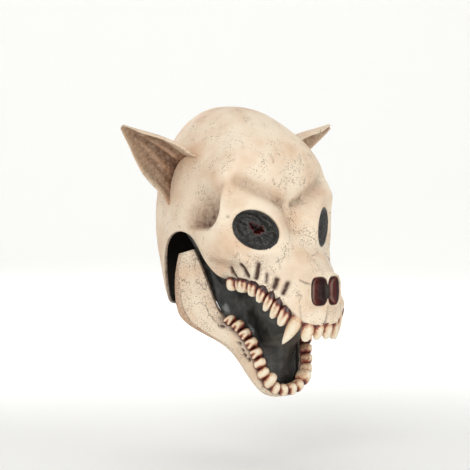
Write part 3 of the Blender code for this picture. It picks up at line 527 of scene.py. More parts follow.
FINE_STROKES = (
    # name             from                       to                         reach mm, depth mm, wash
    ("root slot 1", (0.745, -0.135, -0.408), (0.704, -0.111, -0.490), 2.4, 2.4, 1.30),
    ("root slot 2", (0.751, -0.050, -0.363), (0.711, -0.009, -0.475), 2.6, 2.7, 1.35),
    ("root slot 3", (0.631, 0.126, -0.351), (0.668, 0.128, -0.488), 2.7, 3.1, 1.50),
    ("root slot 4", (0.582, 0.279, -0.446), (0.616, 0.305, -0.531), 1.9, 1.6, 0.95),
    ("root slot 5", (0.506, 0.425, -0.503), (0.550, 0.422, -0.582), 2.8, 3.1, 1.45),
    ("root slot 6", (0.422, 0.581, -0.539), (0.486, 0.556, -0.640), 2.6, 2.7, 1.25),
    ("temple crack", (0.883, -0.150, 0.118), (0.905, -0.066, 0.112), 0.9, 0.5, 0.90),
    ("forehead crack", (0.249, -0.040, 0.612), (0.243, -0.024, 0.555), 0.8, 0.4, 0.55),
    ("brow crack", (0.289, -0.009, 0.423), (0.261, -0.006, 0.374), 0.8, 0.4, 0.75),
    ("eye corner crack", (0.266, 0.086, -0.032), (0.355, 0.167, -0.103), 1.1, 0.4, 0.40),
    ("cheek crack", (0.818, -0.065, -0.288), (0.818, -0.040, -0.233), 0.8, 0.3, 0.50),
    ("cheek seam", (0.425, 0.330, -0.287), (0.428, 0.389, -0.390), 1.0, 0.4, 0.40),
    ("nose crack", (0.297, 0.707, -0.509), (0.262, 0.760, -0.540), 0.9, 0.4, 0.80),
    ("nose crack end", (0.262, 0.760, -0.540), (0.207, 0.833, -0.560), 0.8, 0.3, 0.60),
    ("canine groove", (0.352, 0.792, -0.774), (0.345, 0.805, -0.920), 1.2, 0.5, 0.30),
)
TEMPLE_CORNER, TEMPLE_END = (1.0, -0.118, -0.01), (1.0, -0.45, 0.46)
TEMPLE_DEPTH, TEMPLE_EDGE, TEMPLE_ROUND = 15 * MM, 4.5 * MM, 26 * MM


def temple_hollow(points):
    """Depth of the hollow behind the eye: steep at its rounded front and floor, fading upwards and backwards."""
    corner = shares_to_metres([TEMPLE_CORNER, TEMPLE_END], FACE_DROP)
    behind, above = points[..., 1] - corner[0][1], points[..., 2] - corner[0][2]
    long, tall = corner[1][1] - corner[0][1], corner[1][2] - corner[0][2]
    inside_by = TEMPLE_ROUND - np.hypot(np.minimum(behind - TEMPLE_ROUND, 0), np.minimum(above - TEMPLE_ROUND, 0))
    fade = ramp(behind, long, long * 0.35) * ramp(above, tall, tall * 0.35)
    side = ramp(points[..., 0], 0.5 * HALF_WIDTH, 0.75 * HALF_WIDTH)
    return ramp(inside_by, 0, TEMPLE_EDGE) * fade * side


def stroke_share(points, start, end, reach, normal=None):
    """1 on a stroke's line, falling off as a bell with its reach."""
    return bell(stroke_distance(points, *shares_to_metres([start, end], FACE_DROP), normal) / reach)


def skull_strokes(points, normal):
    """Height of all strokes and of the temple hollow, the brown wash that the strokes hold, and the painted shade in
    the hollow, at each point of the base form.
    """
    height, wash_and_shade = np.zeros(points.shape[:-1]), np.zeros(points.shape[:-1])
    for _, start, end, reach, lift, hold in SKULL_STROKES:
        share = stroke_share(points, start, end, reach * HALF_WIDTH)
        height += lift * WALL * share
        wash_and_shade = np.maximum(wash_and_shade, hold * share)
    for _, start, end, reach, depth, hold in FINE_STROKES:
        share = stroke_share(points, start, end, reach * MM, normal)
        height -= depth * MM * share
        wash_and_shade = np.maximum(wash_and_shade, hold * share)
    temple = temple_hollow(points)
    # In the temple hollow the brown is painted shade, heavier towards the bottom.
    low = ramp(points[..., 2], -0.095, -0.135)
    return height - TEMPLE_DEPTH * temple, np.maximum(wash_and_shade, (0.34 + 0.62 * low) * temple)


print("strokes:", len(SKULL_STROKES), "fine strokes each side:", len(FINE_STROKES))

# %% [markdown]
# ## Eye and nostril openings
# Each opening is an ellipse or a rounded square on the face, with its own centre, long and short half axes and a
# direction out of the face. The bone rolls in over its rim. A cup of its own colour is set in behind, so the edge of
# the paint is the crossing of two smooth surfaces, which stays crisp from every side.

# %% Openings
SOCKET_LENGTH, SOCKET_HEIGHT = 54 * MM, 40 * MM
SOCKET_SLANT, SOCKET_TURN = np.radians(30.0), np.radians(35.0)
NOSTRIL_WIDTH, NOSTRIL_HEIGHT, NOSTRIL_TURN = 20.4 * MM, 30.5 * MM, 0.18
RIM_DROP = 7 * MM
RIM_START, RIM_END = 1.02, 0.84
CUT = 0.74


def opening(centre, turn, slant, length, height, squareness):
    """Centre, half axes and outward direction of an opening that is turned about the vertical and slanted."""
    centre = shares_to_metres([centre], FACE_DROP)[0]
    level = np.array([np.cos(turn), np.sin(turn), 0.0])
    upright = np.array([0.0, 0.0, 1.0])
    long = (np.cos(slant) * level + np.sin(slant) * upright) * length / 2
    short = (np.cos(slant) * upright - np.sin(slant) * level) * height / 2
    return centre, long, short, unit(np.cross(long, short)), squareness


OPENINGS = {
    "eye_socket": opening((0.595, 0.0, 0.0), SOCKET_TURN, SOCKET_SLANT, SOCKET_LENGTH, SOCKET_HEIGHT, 2.0),
    "nostril": opening((0.122, 0.965, -0.630), NOSTRIL_TURN, 0.0, NOSTRIL_WIDTH, NOSTRIL_HEIGHT, 3.2),
}
REACH_IN = {"eye_socket": 34 * MM, "nostril": 16 * MM}
LEVEL_TO = {"eye_socket": 1.75, "nostril": 1.5}


def opening_radius(points, kind):
    """1 on the opening's rim, less inside it: (|u|^n + |v|^n)^(1/n) with u and v along its half axes."""
    centre, long, short, out, squareness = OPENINGS[kind]
    offset = points - centre
    u, v = offset @ long / (long @ long), offset @ short / (short @ short)
    radius = (np.abs(u) ** squareness + np.abs(v) ** squareness) ** (1 / squareness)
    return np.where(np.abs(offset @ out) < REACH_IN[kind], radius, 9.0)


def skull_surface(rib, share):
    """Base form, plus the strokes along its normal, brought level round each opening, then rolled in over its rim."""
    base = skull_form(rib, share)
    normal = normals(skull_form, rib, share, LAST_RIB)
    height, wash_and_shade = skull_strokes(base, normal)
    fade = ramp(share, 1.0, 0.94) * ramp(rib, 0, 0.4) * ramp(rib, LAST_RIB, LAST_RIB - 0.4)
    height = height + root_columns(rib, share)
    uneven = 0.25 * MM * ripple(base[..., 1] / (5 * MM), base[..., 2] / (5 * MM), 0.4)
    point = base + ((SWELL + height + uneven) * fade)[..., None] * normal
    for kind, (centre, _, _, out, _) in OPENINGS.items():
        radius = opening_radius(base, kind)
        above_plane = (point - centre) @ out
        point = point - (above_plane * ramp(radius, LEVEL_TO[kind], 1.05))[..., None] * out
        point = point - (RIM_DROP * ramp(radius, RIM_START, RIM_END))[..., None] * out
        rim = 0.5 * MM * bell((radius - 1.10) / 0.07)
        point = point + rim[..., None] * out
        wash_and_shade = np.maximum(wash_and_shade, 0.9 * ramp(radius, 1.0, 0.92))
    on_middle = (share <= 0)[..., None] * np.array([1.0, 0.0, 0.0])
    return point * (1 - on_middle), wash_and_shade


print("openings:", list(OPENINGS))

# %% [markdown]
# ## Where the teeth stand
# Both jaws carry their teeth on a ledge along the edge. The widths in the tables fill the row, so neighbours always
# meet. Counting along the row in teeth, with a whole number at each border, also drives everything that follows the
# teeth: the swollen roots in the bone and the scalloped gum.

# %% Tooth tables and rows
CANINE_LENGTH, CANINE_WIDTH, LOWER_CANINE_LENGTH = 33 * MM, 14.5 * MM, 17.5 * MM
SQUARE_TO_ROW, TOOTH_FILL, GUM_HEIGHT = 0.55, 1.02, 1.6 * MM
UPPER_TEETH = (
    # name            width depth length form        lobes stain
    ("incisor_1", 0.80, 0.62, 0.53, "blunt", 1, 0.45),
    ("incisor_2", 0.86, 0.64, 0.60, "blunt", 1, 0.40),
    ("canine", 1.05, 0.90, 1.00, "fang", 1, 0.30),
    ("cheek_tooth_1", 0.86, 0.62, 0.60, "crown", 2, 0.85),
    ("cheek_tooth_2", 0.70, 0.62, 0.60, "crown", 2, 0.85),
    ("cheek_tooth_3", 0.66, 0.62, 0.56, "crown", 2, 0.85),
    ("cheek_tooth_4", 0.78, 0.64, 0.46, "crown", 2, 0.95),
    ("cheek_tooth_5", 0.92, 0.66, 0.42, "crown", 2, 0.95),
    ("cheek_tooth_6", 1.40, 0.70, 0.40, "crown", 3, 1.00),
    ("cheek_tooth_7", 1.00, 0.66, 0.38, "crown", 1, 0.90),
)
LOWER_TEETH = (
    # name            width depth length form        lobes stain
    ("incisor_1", 0.95, 0.62, 0.60, "bulb", 1, 0.90),
    ("incisor_2", 0.92, 0.62, 0.64, "bulb", 1, 0.95),
    ("canine", 1.02, 0.76, 1.00, "bulb", 1, 0.80),
    ("cheek_tooth_1", 0.92, 0.66, 0.70, "bulb", 1, 0.95),
    ("cheek_tooth_2", 0.90, 0.66, 0.66, "bulb", 1, 1.10),
    ("cheek_tooth_3", 0.90, 0.68, 0.63, "bulb", 2, 1.12),
    ("cheek_tooth_4", 0.92, 0.68, 0.70, "bulb", 2, 1.18),
    ("cheek_tooth_5", 0.94, 0.70, 0.62, "bulb", 2, 1.22),
    ("cheek_tooth_6", 0.94, 0.70, 0.68, "bulb", 2, 1.25),
    ("cheek_tooth_7", 0.90, 0.66, 0.56, "bulb", 2, 1.28),
)
JAW_TEETH_END = 7.6


def edge_frame(curve, at, last, tip):
    """Point, direction along the row, direction out of the face and direction of the teeth at each place."""
    step = 0.05
    origin = through(curve, at)
    along = unit(through(curve, np.clip(at + step, 0, last)) - through(curve, np.clip(at - step, 0, last)))
    along = np.where((np.asarray(at) <= step)[..., None], np.array([1.0, 0.0, 0.0]), along)
    tips = unit(tip - SQUARE_TO_ROW * (tip * along).sum(-1, keepdims=True) * along)
    return origin, along, unit(np.cross(along, tips)) * np.sign(tips[..., 2:]), tips


def upper_tips(at):
    """The upper teeth point down, a little back and outwards."""
    return np.stack((0.10 + 0 * at, 0.22 + 0 * at, -1 + 0 * at), axis=-1)


def lower_tips(at):
    """The lower teeth stand square to the steep lower row, ahead and up."""
    return np.stack((0.12 + 0 * at, -0.80 + 0 * at, 0.62 + 0 * at), axis=-1)


def tooth_row(curve, end, table):
    """Places of the teeth's borders and middles on the curve, and their widths, from the shares in the table."""
    fine = np.linspace(0, end, 600)
    length = np.concatenate(([0], np.cumsum(np.linalg.norm(np.diff(through(curve, fine), axis=0), axis=1))))
    width = np.array([row[1] for row in table])
    width = width * length[-1] / width.sum()
    borders = np.concatenate(([0], np.cumsum(width)))
    return np.interp(borders, length, fine), np.interp(borders[1:] - width / 2, length, fine), width


UPPER_BORDERS, _, UPPER_WIDTHS = tooth_row(EDGE, TOOTH_ROW_END, UPPER_TEETH)


def root_columns(rib, share):
    """Swelling of the bone over each root: a cosine arch across each tooth, rising towards the tooth row."""
    count = np.interp(rib, UPPER_BORDERS, np.arange(len(UPPER_BORDERS)))
    arch = np.cos(np.pi * (count % 1 - 0.5)) ** 2
    long_root = np.interp(count, (0, 2, 3, 4, 10), (0.80, 0.80, 0.72, 0.86, 0.90))
    near = ramp(share, long_root, 0.5 * long_root + 0.5) * ramp(rib, TOOTH_ROW_END + 0.2, TOOTH_ROW_END - 0.4)
    return 1.1 * MM * arch * near


print("upper tooth widths:", np.round(UPPER_WIDTHS / MM, 1), "mm")

# %% [markdown]
# ## Building the skull
# The grid runs across both halves at once, so the middle line has no seam, and it is finest over the face. At the lower
# edge it turns in as a ledge. Faces behind the cups are left out, and a wall of 2.5 mm closes what remains.

# %% Skull piece
FACE_ROWS, BROW_ROWS, BACK_ROWS, HALF_COLUMNS = 128, 50, 44, 98
LEDGE_COLUMNS = 3
BROW_RIB, CROWN_RIB = 9.2, 13


def skull_ledge(rib):
    """Width of the ledge inside the lower edge."""
    return np.interp(rib, np.arange(LAST_RIB + 1), [row[3] for row in SKULL_RIBS]) * LEDGE


def build_skull():
    """Both halves of the shell with their ledge and paint, without the faces that lie behind a cup."""
    ribs = np.concatenate((
        np.linspace(0, BROW_RIB, FACE_ROWS),
        np.linspace(BROW_RIB, CROWN_RIB, BROW_ROWS)[1:],
        np.linspace(CROWN_RIB, LAST_RIB, BACK_ROWS)[1:],
    ))
    rib_grid, share_grid = np.meshgrid(ribs, np.linspace(0, 1, HALF_COLUMNS), indexing="ij")
    face, wash_and_shade = skull_surface(rib_grid, share_grid)
    out = edge_frame(EDGE, ribs, LAST_RIB, upper_tips(ribs))[2]
    depth = np.linspace(0, 1, LEDGE_COLUMNS + 1)[1:]
    ledge = face[:, -1:] - out[:, None] * (skull_ledge(ribs)[:, None] * depth)[..., None]
    ledge[..., 0] = np.maximum(ledge[..., 0], 0)
    ledge[[0, -1], :, 0] = 0
    half = np.concatenate((face, ledge), axis=1)
    near_teeth = ramp(share_grid, 0.95, 1.0) * ramp(rib_grid, 8.8, 8.2) * 0.6
    hollow = np.pad(np.maximum(wash_and_shade, near_teeth), ((0, 0), (0, LEDGE_COLUMNS)), constant_values=0.7)
    blush = 0.34 * stroke_share(half, (0.95, -0.30, -0.05), (0.75, -0.14, -0.36), 16 * MM)
    blush += 0.30 * stroke_share(half, (0.2, -0.02, 0.24), (0.6, -0.06, 0.36), 10 * MM)
    blush += 0.45 * temple_hollow(half) + 0.15 * ramp(half[..., 1], -60 * MM, 20 * MM)
    grain = 0.55 * bell(half[..., 0] / (12 * MM)) * bell((half[..., 2] + 125 * MM) / (50 * MM))
    grain += 0.35 * stroke_share(half, (0.6, 0.3, -0.4), (0.85, -0.2, -0.4), 20 * MM)
    whole = mirrored(half, 1)
    paint = {key: mirrored(mask, 1) for key, mask in (("hollow", hollow), ("blush", blush), ("grain", grain))}
    one_side = whole.reshape(-1, 3).copy()
    one_side[:, 0] = np.abs(one_side[:, 0])
    behind = np.minimum(*(opening_radius(one_side, kind) for kind in OPENINGS)) < CUT
    quads = grid_quads(*whole.shape[:2])
    quads = quads[~behind[quads].any(axis=1)]
    skull = make_piece("skull_shell", whole, quads, bone, paint, "bone")
    add_wall(skull, WALL, inside)
    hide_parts("skull")
    return skull


skull = build_skull()
print("skull faces:", len(skull.data.polygons))

# %% [markdown]
# ## Eye cups and nostrils
# The eye cups are thin black bowls with brush ridges round a ragged hole that the wearer sees through, and the hole's
# throat is painted dark red. The nostrils are closed pockets, dark red, with painted shade near the rim and on the
# side towards the middle line, and a ridge on the inner side that is paler as a painted highlight. Each is a function
# of the angle round the opening and the way in from its rim.

# %% Cups
CUP_START, CUP_WALL = 1.02, 1.2 * MM
BOWL_DEPTH, BOWL_RISE, BOWL_RIDGE, THROAT_DEPTH, BOWL_END = 8.5 * MM, 2.2 * MM, 2.0 * MM, 7 * MM, 0.80
POCKET_DEPTH, POCKET_FOLD, POCKET_UNEVEN = 8.0 * MM, 1.4 * MM, 0.5 * MM


def cup_surface(kind, turn, way):
    """Rim point in the opening's plane, pulled in by way and dropped by a bowl profile, with ridges round and in."""
    centre, long, short, out, squareness = OPENINGS[kind]
    power = 2 / squareness
    u = np.sign(np.cos(turn)) * np.abs(np.cos(turn)) ** power
    v = np.sign(np.sin(turn)) * np.abs(np.sin(turn)) ** power
    if kind == "eye_socket":
        hole = 0.36 + 0.05 * np.sin(3 * turn + 0.6) + 0.035 * np.sin(7 * turn) - 0.10 * np.abs(np.sin(turn))
        bowl, throat = np.clip(way / BOWL_END, 0, 1), ramp(way, BOWL_END, 1.0)
        radius = CUP_START + (hole - CUP_START) * bowl - 0.10 * throat
        ridges = ripple(3 * np.cos(turn) + 7 * bowl, 3 * np.sin(turn) - 5 * bowl, 1.3)
        ridges = ridges + 0.7 * ripple(11 * np.cos(turn), 11 * np.sin(turn) + 4 * bowl, 2.1)
        drop = 1.2 * MM + BOWL_DEPTH * np.sin(np.pi / 2 * np.minimum(1.25 * bowl, 1))
        drop = drop - BOWL_RISE * ramp(bowl, 0.55, 1.0) + THROAT_DEPTH * throat
        drop = drop + BOWL_RIDGE * ridges * np.sin(np.pi * bowl) ** 0.7
        paint = {"flesh": ramp(way, 0.74, 0.84), "ribs": 0 * way, "ribbed": 0 * way}
        shift = (0.10 * short - 0.03 * long) * bowl[..., None]
    else:
        radius = CUP_START * (1 - way)
        fold = bell((u * radius - 0.45) / 0.28)
        drop = 1.0 * MM + POCKET_DEPTH * np.sin(np.pi / 2 * np.minimum(1.9 * way, 1))
        drop = drop - POCKET_FOLD * fold * ramp(way, 0.1, 0.5)
        drop = drop + POCKET_UNEVEN * ripple(5 * u * radius, 4 * v * radius, 0.9)
        # Dark red paint with painted shade: darker near the rim and on the side towards the middle line. The fold is
        # paler as a painted highlight.
        stain_and_shade = 0.78 - 0.70 * fold + 0.45 * ramp(way, 0.16, 0.0) + 0.25 * ramp(u * radius, -0.1, -0.6)
        paint = {"stain_and_shade": np.clip(stain_and_shade, 0, 1)}
        shift = np.zeros(3)
    point = centre + (radius * u)[..., None] * long + (radius * v)[..., None] * short + shift
    return point - drop[..., None] * out, paint


def build_cup(kind, coat, slot, rings, spokes):
    """The same cup on both sides, with a wall behind it."""
    way, turn = np.meshgrid(np.linspace(0, 1, rings), circle(spokes), indexing="ij")
    points, paint = cup_surface(kind, turn, way)
    quads = grid_quads(rings, spokes, True)
    for side, label in SIDES:
        cup = make_piece(f"{kind}_{label}_cup", points * (side, 1, 1), quads, coat, paint, slot, flip=side > 0)
        add_wall(cup, CUP_WALL)
        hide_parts(f"{kind}_{label}")


build_cup("eye_socket", cup_coat, "black", 44, 120)
build_cup("nostril", nostril_coat, "gum", 30, 72)

# %% [markdown]
# ## Teeth
# Upper incisors are blunt pegs, the canines are fangs that hook back, the cheek teeth are short lobed crowns, and the
# lower teeth are round bulbs. All are one function of (turn, height): a rounded section whose girth shrinks towards the
# tip, with lobes on the outer face and a hook. The stain mask is strong at the root and where a tooth meets the next.

# %% Tooth surface
CROWN_FORMS = {
    # form: neck girth, bluntness, roundness, belly, hook, root above the edge mm, proud mm, deeper
    "blunt": (0.90, 3.4, 2.0, 0.02, 0.10, 3.2, 1.9, 1.00),
    "fang": (0.90, 1.75, 1.30, 0.02, 0.34, 5.0, 2.6, 1.08),
    "crown": (0.84, 3.8, 2.2, 0.08, 0.10, 4.4, 3.1, 1.10),
    "bulb": (0.80, 3.0, 2.0, 0.16, 0.06, 2.4, 3.0, 1.36),
}
TOOTH_RINGS, TOOTH_SPOKES, ROOT_START = 22, 34, -0.12


def tooth_surface(form, lobes, turn, height):
    """Shares across, out and up: girth = neck to full, times (1 - h^blunt)^(1/round), domed at the root, with lobes."""
    neck, blunt, roundness, belly, hook = CROWN_FORMS[form][:5]
    rise = np.clip(height, 0, 1)
    girth = (neck + (1 - neck) * ramp(rise, 0.0, 0.3)) * (1 - rise**blunt) ** (1 / roundness)
    girth = girth * (1 + belly * np.sin(np.pi * np.minimum(rise * 1.2, 1)))
    girth = girth * (0.25 + 0.75 * np.sqrt(ramp(height, -0.13, 0.20)))
    across, outward = np.cos(turn), np.sin(turn)
    square = (np.abs(across) ** 2.6 + np.abs(outward) ** 2.6) ** (-1 / 2.6)
    across, outward = across * square, outward * square
    ridge = 0.5 + 0.5 * np.cos(2 * np.pi * (across * lobes / 2 + (0.5 if lobes % 2 == 0 else 0.0)))
    groove = (0.13 if lobes > 1 else 0.03) * (1 - ridge) * ramp(outward, 0.0, 0.6)
    cusp = (0.10 if lobes > 1 else 0.0) * (ridge - 0.5) * ramp(rise, 0.4, 0.9)
    out = girth * outward * (1 - groove) - 0.4 * hook * rise**2.2
    return girth * across + 0.9 * hook * rise**2.2, out, height + cusp * girth, ridge


def tooth_stain(amount, turn, height, ridge, seed):
    """Stain at the root, in the grooves and where neighbours touch, thinning towards the tip."""
    root = ramp(height, 0.40, 0.06)
    touch = 1.15 * np.abs(np.cos(turn)) ** 3 * ramp(height, 1.10, 0.40)
    groove = (1 - ridge) * ramp(np.sin(turn), -0.1, 0.5) * 0.55 * ramp(height, 1.0, 0.4)
    rear = 0.35 * ramp(-np.sin(turn), 0.1, 0.8)
    uneven = 0.12 * ripple(3 * turn, 6 * height, seed)
    stain_and_shade = amount * (1.05 * root + 0.85 * touch + 1.15 * groove + rear + uneven)
    return np.clip(stain_and_shade + 0.35 * max(amount - 1, 0), 0, 1.2)


def build_teeth(jaw, curve, last, tips_of, end, table, full_length):
    """A left and a right crown for each row of the table, set into the ledge along the curve."""
    _, middles, widths = tooth_row(curve, end, table)
    origin, along, out, tips = edge_frame(curve, middles, last, tips_of(middles))
    height, turn = np.meshgrid(np.linspace(ROOT_START, 1, TOOTH_RINGS), circle(TOOTH_SPOKES), indexing="ij")
    quads, caps = grid_quads(TOOTH_RINGS, TOOTH_SPOKES, True), [np.arange(TOOTH_SPOKES)[::-1]]
    for index, (name, _, depth, length, form, lobes, stain_and_shade) in enumerate(table):
        root, proud, deeper = CROWN_FORMS[form][5:]
        across, outward, rise, ridge = tooth_surface(form, lobes, turn, height)
        half_width, half_depth = widths[index] * TOOTH_FILL / 2, depth * deeper * CANINE_WIDTH / 2
        tall = full_length * length + root * MM
        centre = origin[index] - out[index] * (half_depth - (1.2 + proud) * MM) - tips[index] * root * MM
        points = centre + tips[index] * (tall * rise)[..., None]
        points = points + out[index] * (outward * half_depth)[..., None]
        points = points + along[index] * (across * half_width)[..., None]
        paint = {"stain_and_shade": tooth_stain(stain_and_shade, turn, height, ridge, 1.7 * index)}
        for side, label in SIDES:
            node = f"{jaw}_{name}_{label}"
            mesh = points * (side, 1, 1), quads, tooth_coat, paint, "tooth"
            tooth = make_piece(node + "_crown", *mesh, solid=True, caps=caps)
            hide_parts(node)


build_teeth("upper", EDGE, LAST_RIB, upper_tips, TOOTH_ROW_END, UPPER_TEETH, CANINE_LENGTH)

# %% [markdown]
# ## The lower jaw
# The jaw is a U-shaped trough that carries the lower teeth, with a branch up each side to the hinge of the cheek. Its
# outer plate has a raised rim, outside which a thinner flange, with a little tan paint, hangs on. Its sections run from
# the chin back to the top of the branch.

# %% Jaw sections
JAW_SECTIONS = (
    # upper edge               lower edge                ledge  bulge
    ((0.000, -0.030, -0.985), (0.000, -0.120, -1.000), 1.00, 0.30),
    ((0.140, -0.034, -0.980), (0.130, -0.120, -0.998), 1.00, 0.30),
    ((0.280, -0.044, -0.950), (0.255, -0.122, -0.975), 1.00, 0.30),
    ((0.390, -0.056, -0.885), (0.345, -0.150, -0.915), 1.00, 0.30),
    ((0.440, -0.074, -0.795), (0.405, -0.200, -0.835), 1.00, 0.30),
    ((0.490, -0.100, -0.715), (0.465, -0.256, -0.755), 1.00, 0.30),
    ((0.540, -0.145, -0.640), (0.545, -0.320, -0.695), 0.95, 0.30),
    ((0.590, -0.210, -0.580), (0.625, -0.410, -0.650), 0.80, 0.30),
    ((0.640, -0.285, -0.520), (0.700, -0.510, -0.600), 0.50, 0.30),
    ((0.690, -0.325, -0.430), (0.750, -0.590, -0.530), 0.35, 0.25),
    ((0.735, -0.362, -0.320), (0.775, -0.610, -0.410), 0.35, 0.20),
    ((0.775, -0.402, -0.215), (0.790, -0.600, -0.280), 0.35, 0.15),
    ((0.805, -0.440, -0.130), (0.805, -0.560, -0.160), 0.35, 0.10),
)
JAW_TOP = shares_to_metres([row[0] for row in JAW_SECTIONS], JAW_DROP)
JAW_FOOT = shares_to_metres([row[1] for row in JAW_SECTIONS], JAW_DROP)
LAST_SECTION = len(JAW_SECTIONS) - 1
FLANGE_STEP, FLANGE_AT = 3 * MM, 0.70
JAW_ROWS, JAW_COLUMNS = 150, 44
PIT_REACH, PIT_DEPTH, PIT_RIM, SECTION_LENGTH = 1.9 * MM, 1.9 * MM, 0.7 * MM, 15 * MM
PITS = ((7.2, 0.13), (5.6, 0.18), (5.1, 0.23), (4.7, 0.26), (4.35, 0.18))
LOWER_BORDERS, _, _ = tooth_row(JAW_TOP, JAW_TEETH_END, LOWER_TEETH)


def jaw_ledge(section):
    """Width of the shelf that carries the lower teeth."""
    return np.interp(section, np.arange(LAST_SECTION + 1), [row[2] for row in JAW_SECTIONS]) * LEDGE


def jaw_surface(section, share):
    """Straight from the upper edge to the lower, plus a bulge outwards, a raised rim, roots and small pits."""
    top, foot = through(JAW_TOP, section), through(JAW_FOOT, section)
    _, _, out, _ = edge_frame(JAW_TOP, section, LAST_SECTION, lower_tips(section))
    bulge = np.interp(section, np.arange(LAST_SECTION + 1), [row[3] for row in JAW_SECTIONS]) * LEDGE
    flange = ramp(section, 5.0, 7.0) * ramp(section, 12.0, 11.0)
    proud = SWELL * ramp(share, 0.0, 0.06) + 4 * share * (1 - share) * bulge
    proud = proud + flange * FLANGE_STEP * (ramp(share, 0.0, 0.2) - ramp(share, FLANGE_AT, FLANGE_AT + 0.05))
    proud = proud + flange * 1.3 * MM * bell((share - FLANGE_AT + 0.05) / 0.05)
    count = np.interp(section, LOWER_BORDERS, np.arange(len(LOWER_BORDERS)))
    arch = np.cos(np.pi * (count % 1 - 0.5)) ** 2 * ramp(section, JAW_TEETH_END + 0.2, JAW_TEETH_END - 0.4)
    proud = proud + 1.0 * MM * arch * ramp(share, 0.35, 0.05)
    wash_and_shade = 0.75 * ramp(share, 0.16, 0.0) * ramp(section, JAW_TEETH_END + 0.6, JAW_TEETH_END)
    wash_and_shade = np.maximum(wash_and_shade, 0.6 * flange * bell((share - FLANGE_AT - 0.055) / 0.04))
    tall = np.linalg.norm(foot - top, axis=-1)
    for where, level in PITS:
        spot = np.hypot((section - where) * SECTION_LENGTH, (share - level) * tall) / PIT_REACH
        proud = proud - PIT_DEPTH * bell(spot) + PIT_RIM * bell((spot - 1.6) / 0.6)
        wash_and_shade = np.maximum(wash_and_shade, 1.4 * bell(spot / 1.2))
    uneven = 0.3 * MM * ripple(section * 3.1, share * 9, 0.7)
    blush = flange * ramp(share, FLANGE_AT, FLANGE_AT + 0.08) * 0.45
    blush = blush + 0.25 * ramp(share, 0.75, 1.0) + 0.25 * ramp(share, 0.3, 0.05)
    point = top + share[..., None] * (foot - top) + (proud + uneven * ramp(share, 0, 0.1))[..., None] * out
    return point, wash_and_shade, blush


def build_jaw():
    """The outer plate with a shelf for the teeth and a curl under its lower edge, mirrored and given its wall."""
    branch = np.linspace(JAW_TEETH_END, LAST_SECTION, JAW_ROWS // 3)[1:]
    section = np.concatenate((np.linspace(0, JAW_TEETH_END, 2 * JAW_ROWS // 3), branch))
    section_grid, share_grid = np.meshgrid(section, np.linspace(0, 1, JAW_COLUMNS), indexing="ij")
    face, wash_and_shade, blush = jaw_surface(section_grid, share_grid)
    _, _, out, tips = edge_frame(JAW_TOP, section, LAST_SECTION, lower_tips(section))
    ledge = jaw_ledge(section)[:, None, None]
    depth = np.array([1.0, 0.66, 0.33])[:, None]
    shelf = face[:, :1] - out[:, None] * ledge * depth
    depth = np.array([0.4, 0.8, 1.0])[:, None]
    curl = face[:, -1:] - out[:, None] * ledge * 0.5 * depth + tips[:, None] * ledge * 0.12 * depth**2
    half = np.concatenate((shelf, face, curl), axis=1)
    half[0, :, 0] = 0
    pad = ((0, 0), (3, 3))
    hollow = np.pad(wash_and_shade, pad, constant_values=0.8)
    hollow[:, -3:] = 0.25
    blush = np.pad(blush, pad, mode="edge")
    grain = 0.35 + 0.25 * ramp(np.pad(section_grid, pad, mode="edge"), 7, 9)
    whole = mirrored(half)
    paint = {key: mirrored(mask) for key, mask in (("hollow", hollow), ("blush", blush), ("grain", grain))}
    jaw = make_piece("lower_jaw_shell", whole, grid_quads(*whole.shape[:2]), bone, paint, "bone")
    add_wall(jaw, WALL, inside)
    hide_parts("lower_jaw")
    return jaw


jaw = build_jaw()
build_teeth("lower", JAW_TOP, LAST_SECTION, lower_tips, JAW_TEETH_END, LOWER_TEETH, LOWER_CANINE_LENGTH)
print("jaw faces:", len(jaw.data.polygons))

# %% [markdown]
# ## Gums
# The gum is a soft bar along each tooth row, painted dark red. It climbs between neighbouring teeth and dips round each
# crown, which is what makes teeth look rooted. It is a closed section carried along the row.

# %% Gums
GUM_SPOKES, GUM_STEPS = 20, 16


def build_gum(name, curve, last, tips_of, borders, end, ledge_of):
    """Section: a rounded bar as wide as the ledge. Its height is a scallop, tallest at each border of two teeth."""
    at = np.linspace(0, end, GUM_STEPS * (len(borders) - 1))
    origin, _, out, tips = edge_frame(curve, at, last, tips_of(at))
    count = np.interp(at, borders, np.arange(len(borders)))
    climb = np.abs(np.cos(np.pi * count)) ** 3
    turn = circle(GUM_SPOKES)
    side, rise = np.sign(np.cos(turn)) * np.abs(np.cos(turn)) ** 0.7, np.sin(turn)
    half_width = ledge_of(at)[:, None] / 2 + 0.6 * MM
    middle = -half_width + 1.3 * MM
    height = GUM_HEIGHT * (0.8 + 1.6 * climb[:, None] * (0.6 + 0.4 * side))
    outwards = middle + half_width * side
    tipwards = 0.4 * MM + height * np.maximum(rise, 0) + 0.3 * MM * np.minimum(rise, 0)
    half = origin[:, None] + out[:, None] * outwards[..., None] + tips[:, None] * tipwards[..., None]
    half[0, :, 0] = 0
    whole = mirrored(half)
    paint = {"stain_and_shade": mirrored(0.55 + 0.3 * ripple(*np.meshgrid(count * 4, 2 * turn, indexing="ij"), 0.3))}
    rows, first_ring = len(whole), np.arange(GUM_SPOKES)
    caps = [first_ring[::-1], (rows - 1) * GUM_SPOKES + first_ring]
    quads = grid_quads(rows, GUM_SPOKES, True)
    gum = make_piece(name + "_band", whole, quads, gum_coat, paint, "gum", solid=True, caps=caps)
    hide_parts(name)


build_gum("upper_gum", EDGE, LAST_RIB, upper_tips, UPPER_BORDERS, TOOTH_ROW_END, skull_ledge)
build_gum("lower_gum", JAW_TOP, LAST_SECTION, lower_tips, LOWER_BORDERS, JAW_TEETH_END, jaw_ledge)

# %% [markdown]
# ## The mouth lining
# A sheet of black latex closes the mouth from inside the upper teeth to inside the lower ones, and up both cheeks. It
# sags back like a slack sail, with soft folds at the cheeks and fine ribs in the trough of the jaw.

# %% Lining
LINING_SAG = 0.34
LINING_TUCK = 0.04
LINING_ROWS, LINING_COLUMNS = 110, 60
LINING_WALL, LINING_FOLD = 1.6 * MM, 1.2 * MM


